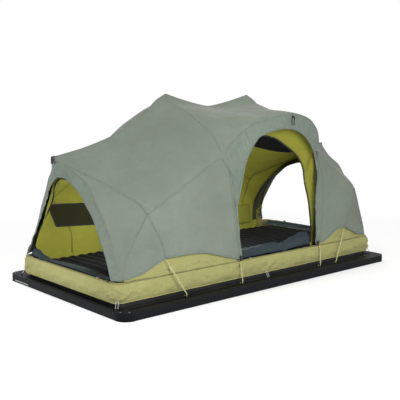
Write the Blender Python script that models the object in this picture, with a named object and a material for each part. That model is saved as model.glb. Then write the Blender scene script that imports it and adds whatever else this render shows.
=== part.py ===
"""Roof top tent: a soft two-person tent on a flat aluminium roof platform.

Units are metres. +X runs along the long side, +Y away from the side with the
large door, +Z up. The origin is the centre of the platform's underside.
"""

import math

import bmesh
import bpy
from mathutils import Matrix, Vector

# Platform
PLATFORM_END_MARGIN = 0.042
PLATFORM_SIDE_MARGIN = 0.117
RAIL_HEIGHT = 0.046
RAIL_WIDTH = 0.075
CORNER_RADIUS = 0.070
GROOVE_WIDTH = 0.008
GROOVE_DEPTH = 0.0035
RAIL_EDGE_BEVEL = 0.003
SLAT_COUNT = 5
SLAT_WIDTH = 0.080
SLAT_HEIGHT = 0.022
DECK_THICKNESS = 0.010
DECK_RECESS = 0.006
BASE_BOARD_MARGIN = 0.018

# Tub: the padded wall and floor under the tent
TUB_LENGTH = 2.156
TUB_WIDTH = 1.026
TUB_BOTTOM = 0.065
TUB_WALL_HEIGHT = 0.107
TUB_CORNER = 0.050
TUB_BULGE = 0.009
TUB_WALL = 0.024
TUB_FLOOR = 0.003

# Mattress
MATTRESS_MARGIN = 0.039
MATTRESS_THICKNESS = 0.074
MATTRESS_CROWN = 0.008
CHANNEL_DEPTH = 0.007
CHANNEL_PITCH = 0.120

# Folding frame
POLE_RADIUS = 0.0045
PIN_RADIUS = 0.0025
PIN_CLEARANCE = 0.0003
PIN_HEAD_RADIUS = 0.0046
PIN_HEAD = 0.0015
FOOT_EYE_RADIUS = 0.0085
FOOT_EYE_HALF = 0.0049
HINGE_RISE = 0.015
FRAME_BAR_WIDTH = 0.033
FRAME_BAR_HEIGHT = 0.010
FRAME_BAR_INSET = 0.0025
FRAME_END_GAP = 0.002
LUG_THICKNESS = 0.0040
LUG_WIDTH = 0.026
LUG_HEAD = 0.010
PEAK_SPREAD = 0.350
HOOP_LEAN = 0.170
END_HOOP_INSET = 0.297

# Fabric
CLOTH = 0.003
SKIRT_TOP = 0.113
FLY_RISE = 0.990
RIDGE_DIP = 0.076
DOOR_CENTRE = 0.147
WALL_FLARE = 0.097
HEM_OUTSET = 0.007
HOOD_OUTSET = 0.074
HOOD_SAG = 2.0
HOOD_DROP = 0.025

# Depth of each layer below the outer cloth, measured towards the middle of the tent
FLY_DEPTH = 0.0
OUTER_POLE_DEPTH = 0.0145
END_POLE_DEPTH = 0.0175
NESTED_POLE_DEPTH = 0.0240
END_TIP_SETBACK = 0.008
INNER_DEPTH = 0.0360

# Cords, hooks and zips
CORD_RADIUS = 0.0016
KNOT_RADIUS = 0.0036
CORD_DROP = 0.0030
ANCHOR_INSET = 0.064
LINK_WIRE = 0.0015
LINK_WIDTH = 0.016
LINK_HEIGHT = 0.042
LINK_LEAN = 33
LINK_MIDDLE_INSET = 0.0695
LINK_CORNER_INSET = (0.036, 0.111)
EYE_LENGTH = 0.006
EYE_WALL = 0.0022
EYE_ROOT = 0.0015
ZIP_WIDTH = 0.008
ZIP_HEIGHT = 0.0016
SLIDER_LENGTH = 0.014
SLIDER_WALL = 0.0020

# Small cloth pieces
SKIRT_INSET = 0.0035
SKIRT_END_INSET = 0.148
FLAP_THICKNESS = 0.0040
TAB_WIDTH = 0.020
TAB_LENGTH = 0.038
CLIP_PLACE = (0.168, 0.998)
CLIP_WIDTH = 0.022
CLIP_HEIGHT = 0.050
CLIP_STANDOFF = 0.0078
TAB_STANDOFF = 0.0014

# Working gap between pieces that touch
GAP = 0.0003

# Places worked out from the sizes above
PLATFORM_LENGTH = TUB_LENGTH + 2 * PLATFORM_END_MARGIN
PLATFORM_WIDTH = TUB_WIDTH + 2 * PLATFORM_SIDE_MARGIN
HALF_LENGTH = PLATFORM_LENGTH / 2
HALF_WIDTH = PLATFORM_WIDTH / 2
TUB_X = TUB_LENGTH / 2
TUB_Y = TUB_WIDTH / 2
TUB_TOP = TUB_BOTTOM + TUB_WALL_HEIGHT
TUB_INNER_X = TUB_X - TUB_WALL
TUB_INNER_Y = TUB_Y - TUB_WALL
FLOOR_TOP = TUB_BOTTOM + TUB_FLOOR
HINGE_Z = TUB_TOP + HINGE_RISE
LUG_Y = TUB_INNER_Y - GAP - LUG_THICKNESS
FOOT_Y = LUG_Y - GAP - FOOT_EYE_HALF
PEAK_Z = TUB_TOP + FLY_RISE
FRAME_TOP = FLOOR_TOP + GAP + FRAME_BAR_HEIGHT
FRAME_Y = TUB_INNER_Y - FRAME_BAR_INSET
RIM_X = TUB_X - TUB_WALL / 2
RIM_Y = TUB_Y - TUB_WALL / 2
RAIL_END_X = HALF_LENGTH - RAIL_WIDTH
RAIL_INNER_Y = HALF_WIDTH - RAIL_WIDTH
DECK_TOP = RAIL_HEIGHT - DECK_RECESS
EAVE_Y = TUB_Y + HOOD_OUTSET - 0.002
EAVE_Z = TUB_TOP + 0.634
MAIN_FOOT_X = PEAK_SPREAD + HOOP_LEAN * (PEAK_Z - HINGE_Z)
END_HOOP_FOOT = TUB_INNER_X - END_HOOP_INSET
FRAME_END_X = TUB_INNER_X - FRAME_END_GAP
MATTRESS_X = TUB_INNER_X - MATTRESS_MARGIN
MATTRESS_Y = TUB_INNER_Y - MATTRESS_MARGIN
ANCHOR_Y = HALF_WIDTH - ANCHOR_INSET
LINK_MIDDLE_Y = HALF_WIDTH - LINK_MIDDLE_INSET
LINK_CORNER = (HALF_LENGTH - LINK_CORNER_INSET[0], HALF_WIDTH - LINK_CORNER_INSET[1])
SKIRT_Y = TUB_Y - SKIRT_INSET
SKIRT_END_X = TUB_X - SKIRT_END_INSET

# Outlines of the fly. Shares run from the start of a seam (0) to its end (1).
HOOP_PROFILE = [
    (0, 0), (0.118, 0.143), (0.35, 0.281), (0.554, 0.433),
    (0.75, 0.593), (0.875, 0.75), (0.956, 0.882), (1, 1),
]
RIDGE_PROFILE = [
    (0, 0), (0.10, 0.122), (0.205, 0.335), (0.315, 0.480),
    (0.495, 0.692), (0.734, 0.867), (1, 1),
]
END_HOOP_PROFILE = [
    (0, 0), (0.144, 0.137), (0.36, 0.337), (0.64, 0.588), (0.90, 0.825), (1, 1),
]
END_HOOP_SWEEP = 1.35
# Heights are above the tub's top; sideways distances are from the tub's faces.
END_TOP = (0.066, 0.634)
SHOULDER = (-0.193, 0.012, 0.345)
SEAM_FOOT = (-0.308, 0.015, 0.096)
CORNER_FOOT = (-0.044, -0.010, 0.018)
SHOULDER_LEG = [(-0.235, 0.030, 0.260), (-0.286, 0.022, 0.170)]
HIP_LINE = [(-0.148, 0.001, 0.266), (-0.106, -0.008, 0.182), (-0.073, -0.014, 0.109)]
# Share of the half width, distance past the tub's end, height
BAND_EDGE = [
    (0.168, 0.020, 0.580), (0.278, -0.006, 0.542), (0.409, -0.024, 0.494), (0.487, -0.028, 0.425),
    (0.622, -0.035, 0.327), (0.745, -0.042, 0.221), (0.885, -0.041, 0.100),
]
END_OPENING = [
    (0, 0.027, 0.520), (0.07, 0.010, 0.513), (0.253, -0.013, 0.455), (0.39, -0.028, 0.371),
    (0.532, -0.033, 0.278), (0.655, -0.030, 0.181), (0.765, -0.022, 0.100), (0.862, -0.012, 0.024),
]
INNER_END_OPENING = [
    (0, -0.018, 0.503), (0.214, -0.038, 0.492), (0.38, -0.058, 0.442), (0.487, -0.078, 0.373),
    (0.585, -0.078, 0.298), (0.721, -0.068, 0.213), (0.838, -0.058, 0.118), (0.87, -0.050, 0.018),
]
# Distance from the door's centre, height
HOOD_RIDGE = [
    (-0.511, 0.684), (-0.435, 0.745), (-0.30, 0.814), (-0.16, 0.845), (-0.038, 0.864),
    (0.077, 0.863), (0.182, 0.832), (0.25, 0.770), (0.272, 0.707),
]
INNER_HOOD_RIDGE = [(-0.36, 0.690), (-0.15, 0.738), (0.04, 0.738), (0.17, 0.692)]
DOOR_EDGE = [
    (-0.331, 0.014), (-0.381, 0.217), (-0.398, 0.335), (-0.384, 0.417), (-0.367, 0.540),
    (-0.347, 0.612), (-0.308, 0.684), (-0.244, 0.740), (-0.129, 0.770), (-0.005, 0.775),
    (0.101, 0.747), (0.188, 0.684), (0.256, 0.583), (0.301, 0.454), (0.304, 0.334),
    (0.337, 0.098), (0.343, 0.014),
]
DOOR_SEAM_LEFT = [(-0.477, 0.528), (-0.457, 0.428), (-0.417, 0.278), (-0.352, 0.008)]
DOOR_SEAM_RIGHT = [(0.318, 0.528), (0.353, 0.428), (0.378, 0.228), (0.378, 0.016)]
# Distance along the side, height of the fly's lower edge
HEM_LEFT = [(-0.524, 0.091), (-0.409, 0.065), (-0.304, 0.033)]
HEM_RIGHT = [(0.695, 0.087), (0.607, 0.039), (0.56, 0.020)]
HEM_FAR = [(-0.30, 0.036), (0.0, 0.014), (0.30, 0.036)]
HEM_CORNER = [(-0.208, 0.052), (-0.162, 0.033)]
INNER_DOOR_SHARE = 0.90
# Height, half width of the legs below the eaves and shoulders
MAIN_LEG = [(0.217, 0.0), (0.285, 0.017), (0.40, 0.035), (0.50, 0.051), (0.60, 0.065), (0.70, 0.077)]
# Height, half width, distance past the foot
END_LEG = [(0.217, 0.0, 0.003), (0.285, 0.017, 0.017), (0.342, 0.031, 0.032), (0.432, 0.039, 0.079)]
# Where the inner tent's wall stands straight behind the poles
INNER_WALL_X = TUB_INNER_X - 0.024
INNER_WALL_Y = TUB_INNER_Y - 0.029
INNER_WALL_TOP = 0.240
INNER_WALL_FLARE = 0.165
# Place along the side, and along the rail, of each guy line
GUY_NEAR = [(-0.770, -0.660), (-0.205, -0.235), (0.525, 0.470), (0.770, 0.630)]
GUY_FAR = [(-0.770, -0.660), (-0.504, -0.450), (0.504, 0.450), (0.770, 0.660)]
SKIRTS = [
    ("near_left", -SKIRT_END_X, DOOR_CENTRE - 0.367, -1),
    ("near_right", DOOR_CENTRE + 0.353, SKIRT_END_X, -1),
    ("far", -SKIRT_END_X, SKIRT_END_X, 1),
]

# Steps along each family of seams
RIDGE_STEPS = 6
HOOP_STEPS = 7
LEG_STEPS = 5
HEM_STEPS = 3
HOOD_STEPS = 12
BAND_STEPS = 1


def clear_scene():
    for obj in list(bpy.data.objects):
        bpy.data.objects.remove(obj, do_unlink=True)


def material(name, colour, roughness, metallic=0.0):
    mat = bpy.data.materials.get(name) or bpy.data.materials.new(name)
    mat.use_nodes = True
    shader = mat.node_tree.nodes["Principled BSDF"]
    shader.inputs["Base Color"].default_value = (*colour, 1)
    shader.inputs["Roughness"].default_value = roughness
    shader.inputs["Metallic"].default_value = metallic
    return mat


def finish_object(name, mesh, mat, smooth_angle=None, location=(0, 0, 0)):
    mesh.materials.append(mat)
    obj = bpy.data.objects.new(name, mesh)
    obj.location = location
    bpy.context.scene.collection.objects.link(obj)
    if smooth_angle is not None:
        mesh.shade_smooth()
        mesh.set_sharp_from_angle(angle=math.radians(smooth_angle))
    return obj


def mesh_object(name, bm, mat, smooth_angle=None, location=(0, 0, 0)):
    bmesh.ops.recalc_face_normals(bm, faces=bm.faces)
    mesh = bpy.data.meshes.new(name)
    bm.to_mesh(mesh)
    bm.free()
    return finish_object(name, mesh, mat, smooth_angle, location)


def boolean(obj, other, operation):
    mod = obj.modifiers.new(operation.lower(), "BOOLEAN")
    mod.operation = operation
    mod.object = other
    mod.solver = "EXACT"
    other.hide_render = True
    other.display_type = "WIRE"
    return mod


def box_mesh(bm, low, high):
    """Adds a box between two corners and returns its vertices."""
    low, high = Vector(low), Vector(high)
    made = bmesh.ops.create_cube(bm, size=1)["verts"]
    for vert in made:
        vert.co = Vector(
            low[i] + (high[i] - low[i]) * (vert.co[i] + 0.5) for i in range(3)
        )
    return made


def smooth_path(points, steps):
    """Equal steps along the smooth curve through the points."""
    points = [Vector(p) for p in points]
    fine = []
    for i in range(len(points) - 1):
        before = points[i - 1] if i else 2 * points[0] - points[1]
        after = points[i + 2] if i + 2 < len(points) else 2 * points[-1] - points[-2]
        a, b = points[i], points[i + 1]
        for k in range(12):
            t = k / 12
            fine.append(
                0.5 * (
                    2 * a + (b - before) * t
                    + (2 * before - 5 * a + 4 * b - after) * t**2
                    + (3 * a - before - 3 * b + after) * t**3
                )
            )
    fine.append(points[-1])
    lengths = [0.0]
    for a, b in zip(fine, fine[1:]):
        lengths.append(lengths[-1] + (b - a).length)
    path = []
    k = 0
    for i in range(steps + 1):
        want = lengths[-1] * i / steps
        while k < len(fine) - 2 and lengths[k + 1] < want:
            k += 1
        t = (want - lengths[k]) / (lengths[k + 1] - lengths[k])
        path.append(fine[k].lerp(fine[k + 1], t))
    return path


def sunk(point, depth):
    """The point moved by depth towards the tent's middle line."""
    point = Vector(point)
    middle = Vector((0.8 * point.x, 0, TUB_TOP + 0.23))
    return point + (middle - point).normalized() * depth


def wall_y(z):
    """Half width of the fly's long side at a height."""
    return TUB_Y + HEM_OUTSET + WALL_FLARE * (z - TUB_TOP - 0.018)


# Seams of the fly


def side_point(offset, sx, sy):
    """A point given by its distance past the tub's end and side and its height."""
    return Vector((sx * (TUB_X + offset[0]), sy * (TUB_Y + offset[1]), TUB_TOP + offset[2]))


def end_point(row, sx, sy):
    """A point of an end arch, given by its share of the half width."""
    share, out, height = row
    return Vector((sx * (TUB_X + out), sy * share * TUB_Y, TUB_TOP + height))


def door_point(row):
    """A point of the door's edge or seams, on the flared near wall."""
    z = TUB_TOP + row[1]
    return Vector((DOOR_CENTRE + row[0], -wall_y(z), z))


def side_hem_point(x, height, sy):
    z = TUB_TOP + height
    return Vector((x, sy * wall_y(z), z))


def peak(sx):
    return Vector((sx * PEAK_SPREAD, 0, PEAK_Z))


def eave(sx, sy):
    return Vector((sx * (PEAK_SPREAD + HOOP_LEAN * (PEAK_Z - EAVE_Z)), sy * EAVE_Y, EAVE_Z))


def end_top(sx):
    return Vector((sx * (TUB_X + END_TOP[0]), 0, TUB_TOP + END_TOP[1]))


class Seams:
    """Every seam of the tent's cloth at one depth below the outer surface."""

    def __init__(self, depth, density=1):
        self.depth = depth
        self.density = density

    def path(self, points, steps):
        return smooth_path([sunk(p, self.depth) for p in points], steps * self.density)

    def main_hoop(self, sx, sy):
        top, low = peak(sx), eave(sx, sy)
        points = []
        for across, down in HOOP_PROFILE:
            z = top.z + (low.z - top.z) * down
            x = sx * (PEAK_SPREAD + HOOP_LEAN * (PEAK_Z - z))
            points.append((x, low.y * across, z))
        return self.path(points, HOOP_STEPS)

    def ridge(self, sx):
        top, end = peak(sx), end_top(sx)
        points = [
            (top.x + (end.x - top.x) * along, 0, top.z + (end.z - top.z) * down)
            for along, down in RIDGE_PROFILE
        ]
        return self.path(points, RIDGE_STEPS)

    def middle_ridge(self):
        points = []
        for i in range(-5, 6):
            share = abs(i / 5)
            dip = RIDGE_DIP * (1 - share**1.3)
            points.append((i / 5 * PEAK_SPREAD, 0, PEAK_Z - dip))
        return self.path(points, HOOD_STEPS)

    def end_hoop(self, sx, sy):
        top, low = end_top(sx), side_point(SHOULDER, sx, sy)
        points = [
            (
                top.x + (low.x - top.x) * (1 - (1 - across) ** END_HOOP_SWEEP),
                low.y * across,
                top.z + (low.z - top.z) * down,
            )
            for across, down in END_HOOP_PROFILE
        ]
        return self.path(points, HOOP_STEPS)

    def shoulder_leg(self, sx, sy):
        """From the shoulder down to the hem, over the end hoop's leg."""
        return self.path(
            [side_point(p, sx, sy) for p in [SHOULDER, *SHOULDER_LEG, SEAM_FOOT]], LEG_STEPS
        )

    def hip(self, sx, sy):
        return self.path(
            [side_point(p, sx, sy) for p in [SHOULDER, *HIP_LINE, CORNER_FOOT]], LEG_STEPS
        )

    def eave_line(self, sx, sy):
        return self.path([eave(sx, sy), side_point(SHOULDER, sx, sy)], RIDGE_STEPS)

    def band_edge(self, sx, sy):
        """Outer edge of an end arch's band, from its top to the corner."""
        points = [end_top(sx), *(end_point(row, sx, sy) for row in BAND_EDGE)]
        points.append(side_point(CORNER_FOOT, sx, sy))
        return self.path(points, HOOP_STEPS + LEG_STEPS)

    def corner_hem(self, sx, sy):
        points = [side_point(SEAM_FOOT, sx, sy)]
        points += [side_hem_point(sx * (TUB_X + x), h, sy) for x, h in HEM_CORNER]
        points.append(side_point(CORNER_FOOT, sx, sy))
        return self.path(points, HEM_STEPS)

    def hood_ridge(self):
        rows = INNER_HOOD_RIDGE if self.depth == INNER_DEPTH else HOOD_RIDGE
        points = [eave(-1, -1)]
        points += [(DOOR_CENTRE + x, -(TUB_Y + HOOD_OUTSET), TUB_TOP + h) for x, h in rows]
        points.append(eave(1, -1))
        return self.path(points, HOOD_STEPS)

    def door_seam(self, sx):
        """From an eave down to the foot of the door's band."""
        rows = DOOR_SEAM_LEFT if sx < 0 else DOOR_SEAM_RIGHT
        return self.path([eave(sx, -1), *map(door_point, rows)], LEG_STEPS)

    def door_edge(self, share=1.0):
        points = [door_point((x * share, h * share)) for x, h in DOOR_EDGE]
        return self.path(points, HOOD_STEPS + 2 * LEG_STEPS)

    def far_leg(self, sx):
        """From a far eave down to the hem, over the main hoop's leg."""
        low = Vector((0, 0, TUB_TOP + 0.085))
        low.y = wall_y(low.z)
        low.x = sx * (PEAK_SPREAD + HOOP_LEAN * (PEAK_Z - low.z))
        return self.path([eave(sx, 1), low], LEG_STEPS)

    def near_hem(self, sx):
        rows = HEM_LEFT if sx < 0 else HEM_RIGHT
        ends = [side_point(SEAM_FOOT, sx, -1), self.door_seam_foot(sx)]
        points = [side_hem_point(x, h, -1) for x, h in rows]
        return self.path([ends[0], *points, ends[1]], RIDGE_STEPS)

    def door_seam_foot(self, sx):
        rows = DOOR_SEAM_LEFT if sx < 0 else DOOR_SEAM_RIGHT
        return door_point(rows[-1])

    def far_hem(self):
        left, right = self.far_foot(-1), self.far_foot(1)
        points = [side_hem_point(x, h, 1) for x, h in HEM_FAR]
        return self.path([left, *points, right], HOOD_STEPS)

    def far_foot(self, sx):
        z = TUB_TOP + 0.085
        return Vector((sx * (PEAK_SPREAD + HOOP_LEAN * (PEAK_Z - z)), wall_y(z), z))

    def far_side_hem(self, sx):
        return self.path([self.far_foot(sx), side_point(SEAM_FOOT, sx, 1)], RIDGE_STEPS)


def add_patch(bm, top, bottom, left, right, sag=1.0, drop=0.0):
    """Fills four seams with cloth: top and bottom run the same way, as do left and right.

    A sag above 1 keeps the curve of the two sides from reaching the middle, and a drop
    lowers the middle.
    """
    across, down = len(top) - 1, len(left) - 1
    rows = []
    for j in range(down + 1):
        v = j / down
        row = []
        for i in range(across + 1):
            u = i / across
            ruled = top[i].lerp(bottom[i], v)
            bow_left = left[j] - left[0].lerp(left[-1], v)
            bow_right = right[j] - right[0].lerp(right[-1], v)
            point = ruled + bow_left * (1 - u) ** sag + bow_right * u**sag
            point.z -= drop * math.sin(math.pi * u) * math.sin(math.pi * v)
            row.append(bm.verts.new(point))
        rows.append(row)
    for j in range(down):
        for i in range(across):
            bm.faces.new((rows[j][i], rows[j][i + 1], rows[j + 1][i + 1], rows[j + 1][i]))


def weld_cloth(bm):
    bmesh.ops.remove_doubles(bm, verts=bm.verts, dist=0.0001)
    bmesh.ops.dissolve_degenerate(bm, edges=bm.edges, dist=0.0001)
    bmesh.ops.recalc_face_normals(bm, faces=bm.faces)


def cloth_object(name, bm, mat):
    """Turns an open cloth surface into a thin closed shell centred on it."""
    weld_cloth(bm)
    bmesh.ops.triangulate(bm, faces=bm.faces)
    obj = mesh_object(name, bm, mat, 35)
    mod = obj.modifiers.new("cloth", "SOLIDIFY")
    mod.thickness = CLOTH
    mod.offset = 0
    mod.use_even_offset = False
    return obj


def shared_panels(bm, seams):
    """The roof and side panels that the fly and the inner tent have alike."""
    for sx in (-1, 1):
        for sy in (-1, 1):
            hoop, end = seams.main_hoop(sx, sy), seams.end_hoop(sx, sy)
            eave_line = seams.eave_line(sx, sy)
            add_patch(bm, seams.ridge(sx), eave_line, hoop, end)
            leg, hip = seams.shoulder_leg(sx, sy), seams.hip(sx, sy)
            corner = seams.corner_hem(sx, sy)
            tip = [leg[0]] * len(corner)
            add_patch(bm, tip, corner, leg, hip)
            outer = end + hip[1:]
            edge = seams.band_edge(sx, sy)
            add_patch(bm, outer, edge, [outer[0]] * 3, [outer[-1]] * 3)
        near_leg = seams.shoulder_leg(sx, -1)
        add_patch(
            bm, seams.eave_line(sx, -1), list(reversed(seams.near_hem(sx))),
            seams.door_seam(sx), near_leg,
        )
        add_patch(
            bm, seams.eave_line(sx, 1), seams.far_side_hem(sx),
            seams.far_leg(sx), seams.shoulder_leg(sx, 1),
        )
    add_patch(
        bm, seams.middle_ridge(), seams.hood_ridge(),
        seams.main_hoop(-1, -1), seams.main_hoop(1, -1), HOOD_SAG, HOOD_DROP,
    )
    add_patch(
        bm, seams.middle_ridge(), seams.far_hem(),
        seams.main_hoop(-1, 1) + seams.far_leg(-1)[1:],
        seams.main_hoop(1, 1) + seams.far_leg(1)[1:],
    )


def add_bands(bm, seams, arches, door_share):
    """The strips round the three doorways; arches are the end openings by side."""
    for sx in (-1, 1):
        for sy in (-1, 1):
            edge, opening = seams.band_edge(sx, sy), arches[sx, sy]
            add_patch(bm, edge, opening, [edge[0], opening[0]], [edge[-1], opening[-1]])
    outer = list(reversed(seams.door_seam(-1))) + seams.hood_ridge()[1:] + seams.door_seam(1)[1:]
    inner = seams.door_edge(door_share)
    add_patch(bm, outer, inner, [outer[0], inner[0]], [outer[-1], inner[-1]])


def end_arches(rows, density=1):
    """The four halves of the end openings, by side."""
    steps = (HOOP_STEPS + LEG_STEPS) * density
    return {
        (sx, sy): smooth_path([end_point(row, sx, sy) for row in rows], steps)
        for sx in (-1, 1)
        for sy in (-1, 1)
    }


def build_fly(mat):
    bm = bmesh.new()
    seams = Seams(FLY_DEPTH)
    shared_panels(bm, seams)
    add_bands(bm, seams, end_arches(END_OPENING), 1.0)
    return cloth_object("fly", bm, mat)


def tucked(point):
    """Keeps the inner tent's lower wall inside the poles' feet."""
    rise = max(0, point.z - INNER_WALL_TOP)
    if point.z < EAVE_Z - INNER_DEPTH / 2:
        limit = INNER_WALL_Y + INNER_WALL_FLARE * rise
        point.y = max(-limit, min(limit, point.y))
        limit = INNER_WALL_X + INNER_WALL_FLARE * rise
        point.x = max(-limit, min(limit, point.x))
    return point


def foot_paths(seams, arches):
    """The lower edges of the inner tent's cloth, from the doors round to the far side."""
    for sx in (-1, 1):
        yield seams.near_hem(sx)
        yield seams.far_side_hem(sx)
        for sy in (-1, 1):
            yield seams.corner_hem(sx, sy)
            yield [seams.band_edge(sx, sy)[-1], arches[sx, sy][-1]]
    yield seams.far_hem()
    door = seams.door_edge(INNER_DOOR_SHARE)
    yield [seams.door_seam(-1)[-1], door[0]]
    yield [seams.door_seam(1)[-1], door[-1]]


def build_inner_tent(mat):
    bm = bmesh.new()
    seams = Seams(INNER_DEPTH)
    arches = end_arches(INNER_END_OPENING)
    shared_panels(bm, seams)
    add_bands(bm, seams, arches, INNER_DOOR_SHARE)
    foot_z = FRAME_TOP + GAP
    for path in foot_paths(seams, arches):
        low = [Vector((p.x, p.y, foot_z)) for p in path]
        add_patch(bm, path, low, [path[0], low[0]], [path[-1], low[-1]])
    for vert in bm.verts:
        vert.co = tucked(vert.co)
    return cloth_object("inner_tent", bm, mat)


# Bars, wires and boxes


def tube(bm, path, radius, sides, closed=False, normal=None):
    """A round bar along the path; the ends are capped unless the path is closed."""
    path = [Vector(p) for p in path]
    count = len(path)
    rings = []
    for i, point in enumerate(path):
        if closed:
            along = (path[(i + 1) % count] - path[i - 1]).normalized()
        else:
            along = (path[min(i + 1, count - 1)] - path[max(i - 1, 0)]).normalized()
        if normal is None:
            normal = along.orthogonal()
        normal = (normal - along * normal.dot(along)).normalized()
        side = along.cross(normal)
        ring = []
        for k in range(sides):
            angle = 2 * math.pi * (k + 0.5) / sides
            arm = math.cos(angle) * normal + math.sin(angle) * side
            ring.append(bm.verts.new(point + radius * arm))
        rings.append(ring)
    pairs = list(zip(rings, rings[1:]))
    if closed:
        pairs.append((rings[-1], rings[0]))
    else:
        bm.faces.new(rings[0])
        bm.faces.new(rings[-1])
    for one, two in pairs:
        for k in range(sides):
            n = (k + 1) % sides
            bm.faces.new((one[k], one[n], two[n], two[k]))


def prism(bm, outline, start, end):
    """Sweeps a closed outline of offsets from start to end."""
    low = [bm.verts.new(Vector(start) + Vector(p)) for p in outline]
    high = [bm.verts.new(Vector(end) + Vector(p)) for p in outline]
    bm.faces.new(low)
    bm.faces.new(high)
    for i in range(len(outline)):
        n = (i + 1) % len(outline)
        bm.faces.new((low[i], low[n], high[n], high[i]))


def lathe(bm, profile, centre, axis, sides):
    """A turned solid: profile rows are the place along the axis and the radius."""
    axis = Vector(axis).normalized()
    normal = axis.orthogonal().normalized()
    side = axis.cross(normal)
    rings = []
    for along, radius in profile:
        ring = []
        for k in range(sides):
            angle = 2 * math.pi * k / sides
            arm = math.cos(angle) * normal + math.sin(angle) * side
            ring.append(bm.verts.new(Vector(centre) + axis * along + arm * radius))
        rings.append(ring)
    bm.faces.new(rings[0])
    bm.faces.new(rings[-1])
    for one, two in zip(rings, rings[1:]):
        for k in range(sides):
            n = (k + 1) % sides
            bm.faces.new((one[k], one[n], two[n], two[k]))


def helper(name, bm):
    """A closed mesh that is only used by a Boolean."""
    bmesh.ops.recalc_face_normals(bm, faces=bm.faces)
    mesh = bpy.data.meshes.new(name)
    bm.to_mesh(mesh)
    bm.free()
    obj = bpy.data.objects.new(name, mesh)
    bpy.context.scene.collection.objects.link(obj)
    return obj


# Platform


def rail_outline():
    """Distance in from the outer face, and height."""
    width, height, bevel = RAIL_WIDTH, RAIL_HEIGHT, RAIL_EDGE_BEVEL
    outline = [(0, bevel), (0, height - bevel), (bevel, height)]
    for centre in (0.022, 0.050):
        near, far = centre - GROOVE_WIDTH / 2, centre + GROOVE_WIDTH / 2
        outline += [(near, height), (near, height - GROOVE_DEPTH)]
        outline += [(far, height - GROOVE_DEPTH), (far, height)]
    outline += [(width - bevel, height), (width, height - bevel), (width, bevel)]
    return outline + [(width - bevel, 0), (bevel, 0)]


def add_staple(bm, centre, axis, clear, length):
    """A small bridge on a rail: its tunnel runs along the axis over the rail's top."""
    axis = Vector(axis).normalized()
    side = Vector((0, 0, 1)).cross(axis)
    inner, outer = clear / 2, clear / 2 + EYE_WALL
    rows = [
        (-outer, -EYE_ROOT), (-outer, clear + EYE_WALL), (outer, clear + EYE_WALL),
        (outer, -EYE_ROOT), (inner, -EYE_ROOT), (inner, clear), (-inner, clear), (-inner, -EYE_ROOT),
    ]
    outline = [side * across + Vector((0, 0, RAIL_HEIGHT + up)) for across, up in rows]
    middle = Vector((centre[0], centre[1], 0))
    prism(bm, outline, middle - axis * length / 2, middle + axis * length / 2)


def link_places():
    """Name, place on the rail and outward direction of each tie link."""
    x, y = LINK_CORNER
    return [
        ("near_left", (-x, -y), (-1, -1)), ("near_middle", (0, -LINK_MIDDLE_Y), (0, -1)),
        ("near_right", (x, -y), (1, -1)), ("far_left", (-x, y), (-1, 1)),
        ("far_middle", (0, LINK_MIDDLE_Y), (0, 1)), ("far_right", (x, y), (1, 1)),
    ]


def rail_staples(bm, name):
    link_clear = 2 * (LINK_WIRE + GAP)
    cord_clear = 2 * (CORD_RADIUS + GAP)
    ends = {"left": -1, "right": 1}
    for place, centre, outward in link_places():
        on_end = name in ends and centre[0] * ends[name] > 0
        on_side = name in place and centre[0] == 0
        if on_end or on_side:
            axis = Vector((-outward[1], outward[0], 0))
            add_staple(bm, centre, axis, link_clear, EYE_LENGTH)
    guys = {"near": (GUY_NEAR, -1), "far": (GUY_FAR, 1)}.get(name)
    if guys:
        for _, x in guys[0]:
            add_staple(bm, (x, guys[1] * ANCHOR_Y), (0, 1, 0), cord_clear, 0.008)


def build_rails(mat):
    for name, sy in (("near", -1), ("far", 1)):
        bm = bmesh.new()
        outline = [(0, sy * (HALF_WIDTH - v), z) for v, z in rail_outline()]
        reach = RAIL_END_X - GAP
        prism(bm, outline, (-reach, 0, 0), (reach, 0, 0))
        add_staples(mesh_object("rail_" + name, bm, mat, 30), name)
    for name, sx in (("left", -1), ("right", 1)):
        bm = bmesh.new()
        outline = [(sx * (HALF_LENGTH - v), 0, z) for v, z in rail_outline()]
        reach = RAIL_INNER_Y - GAP
        prism(bm, outline, (0, -reach, 0), (0, reach, 0))
        add_staples(mesh_object("rail_" + name, bm, mat, 30), name)


def add_staples(rail, name):
    bm = bmesh.new()
    rail_staples(bm, name)
    boolean(rail, helper("staples_" + name, bm), "UNION")


def build_corners(mat):
    for end, sx in (("left", -1), ("right", 1)):
        for side, sy in (("near", -1), ("far", 1)):
            bm = bmesh.new()
            low = (sx * RAIL_END_X, sy * RAIL_INNER_Y)
            high = (sx * HALF_LENGTH, sy * HALF_WIDTH)
            centre = (sx * (HALF_LENGTH - CORNER_RADIUS), sy * (HALF_WIDTH - CORNER_RADIUS))
            outline = [(low[0], low[1], 0), (high[0], low[1], 0)]
            for k in range(9):
                angle = math.pi / 2 * k / 8
                x = centre[0] + sx * CORNER_RADIUS * math.cos(angle)
                y = centre[1] + sy * CORNER_RADIUS * math.sin(angle)
                outline.append((x, y, 0))
            outline.append((low[0], high[1], 0))
            prism(bm, outline, (0, 0, 0), (0, 0, RAIL_HEIGHT - 0.0010))
            mesh_object(f"corner_{side}_{end}", bm, mat, 30)


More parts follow.
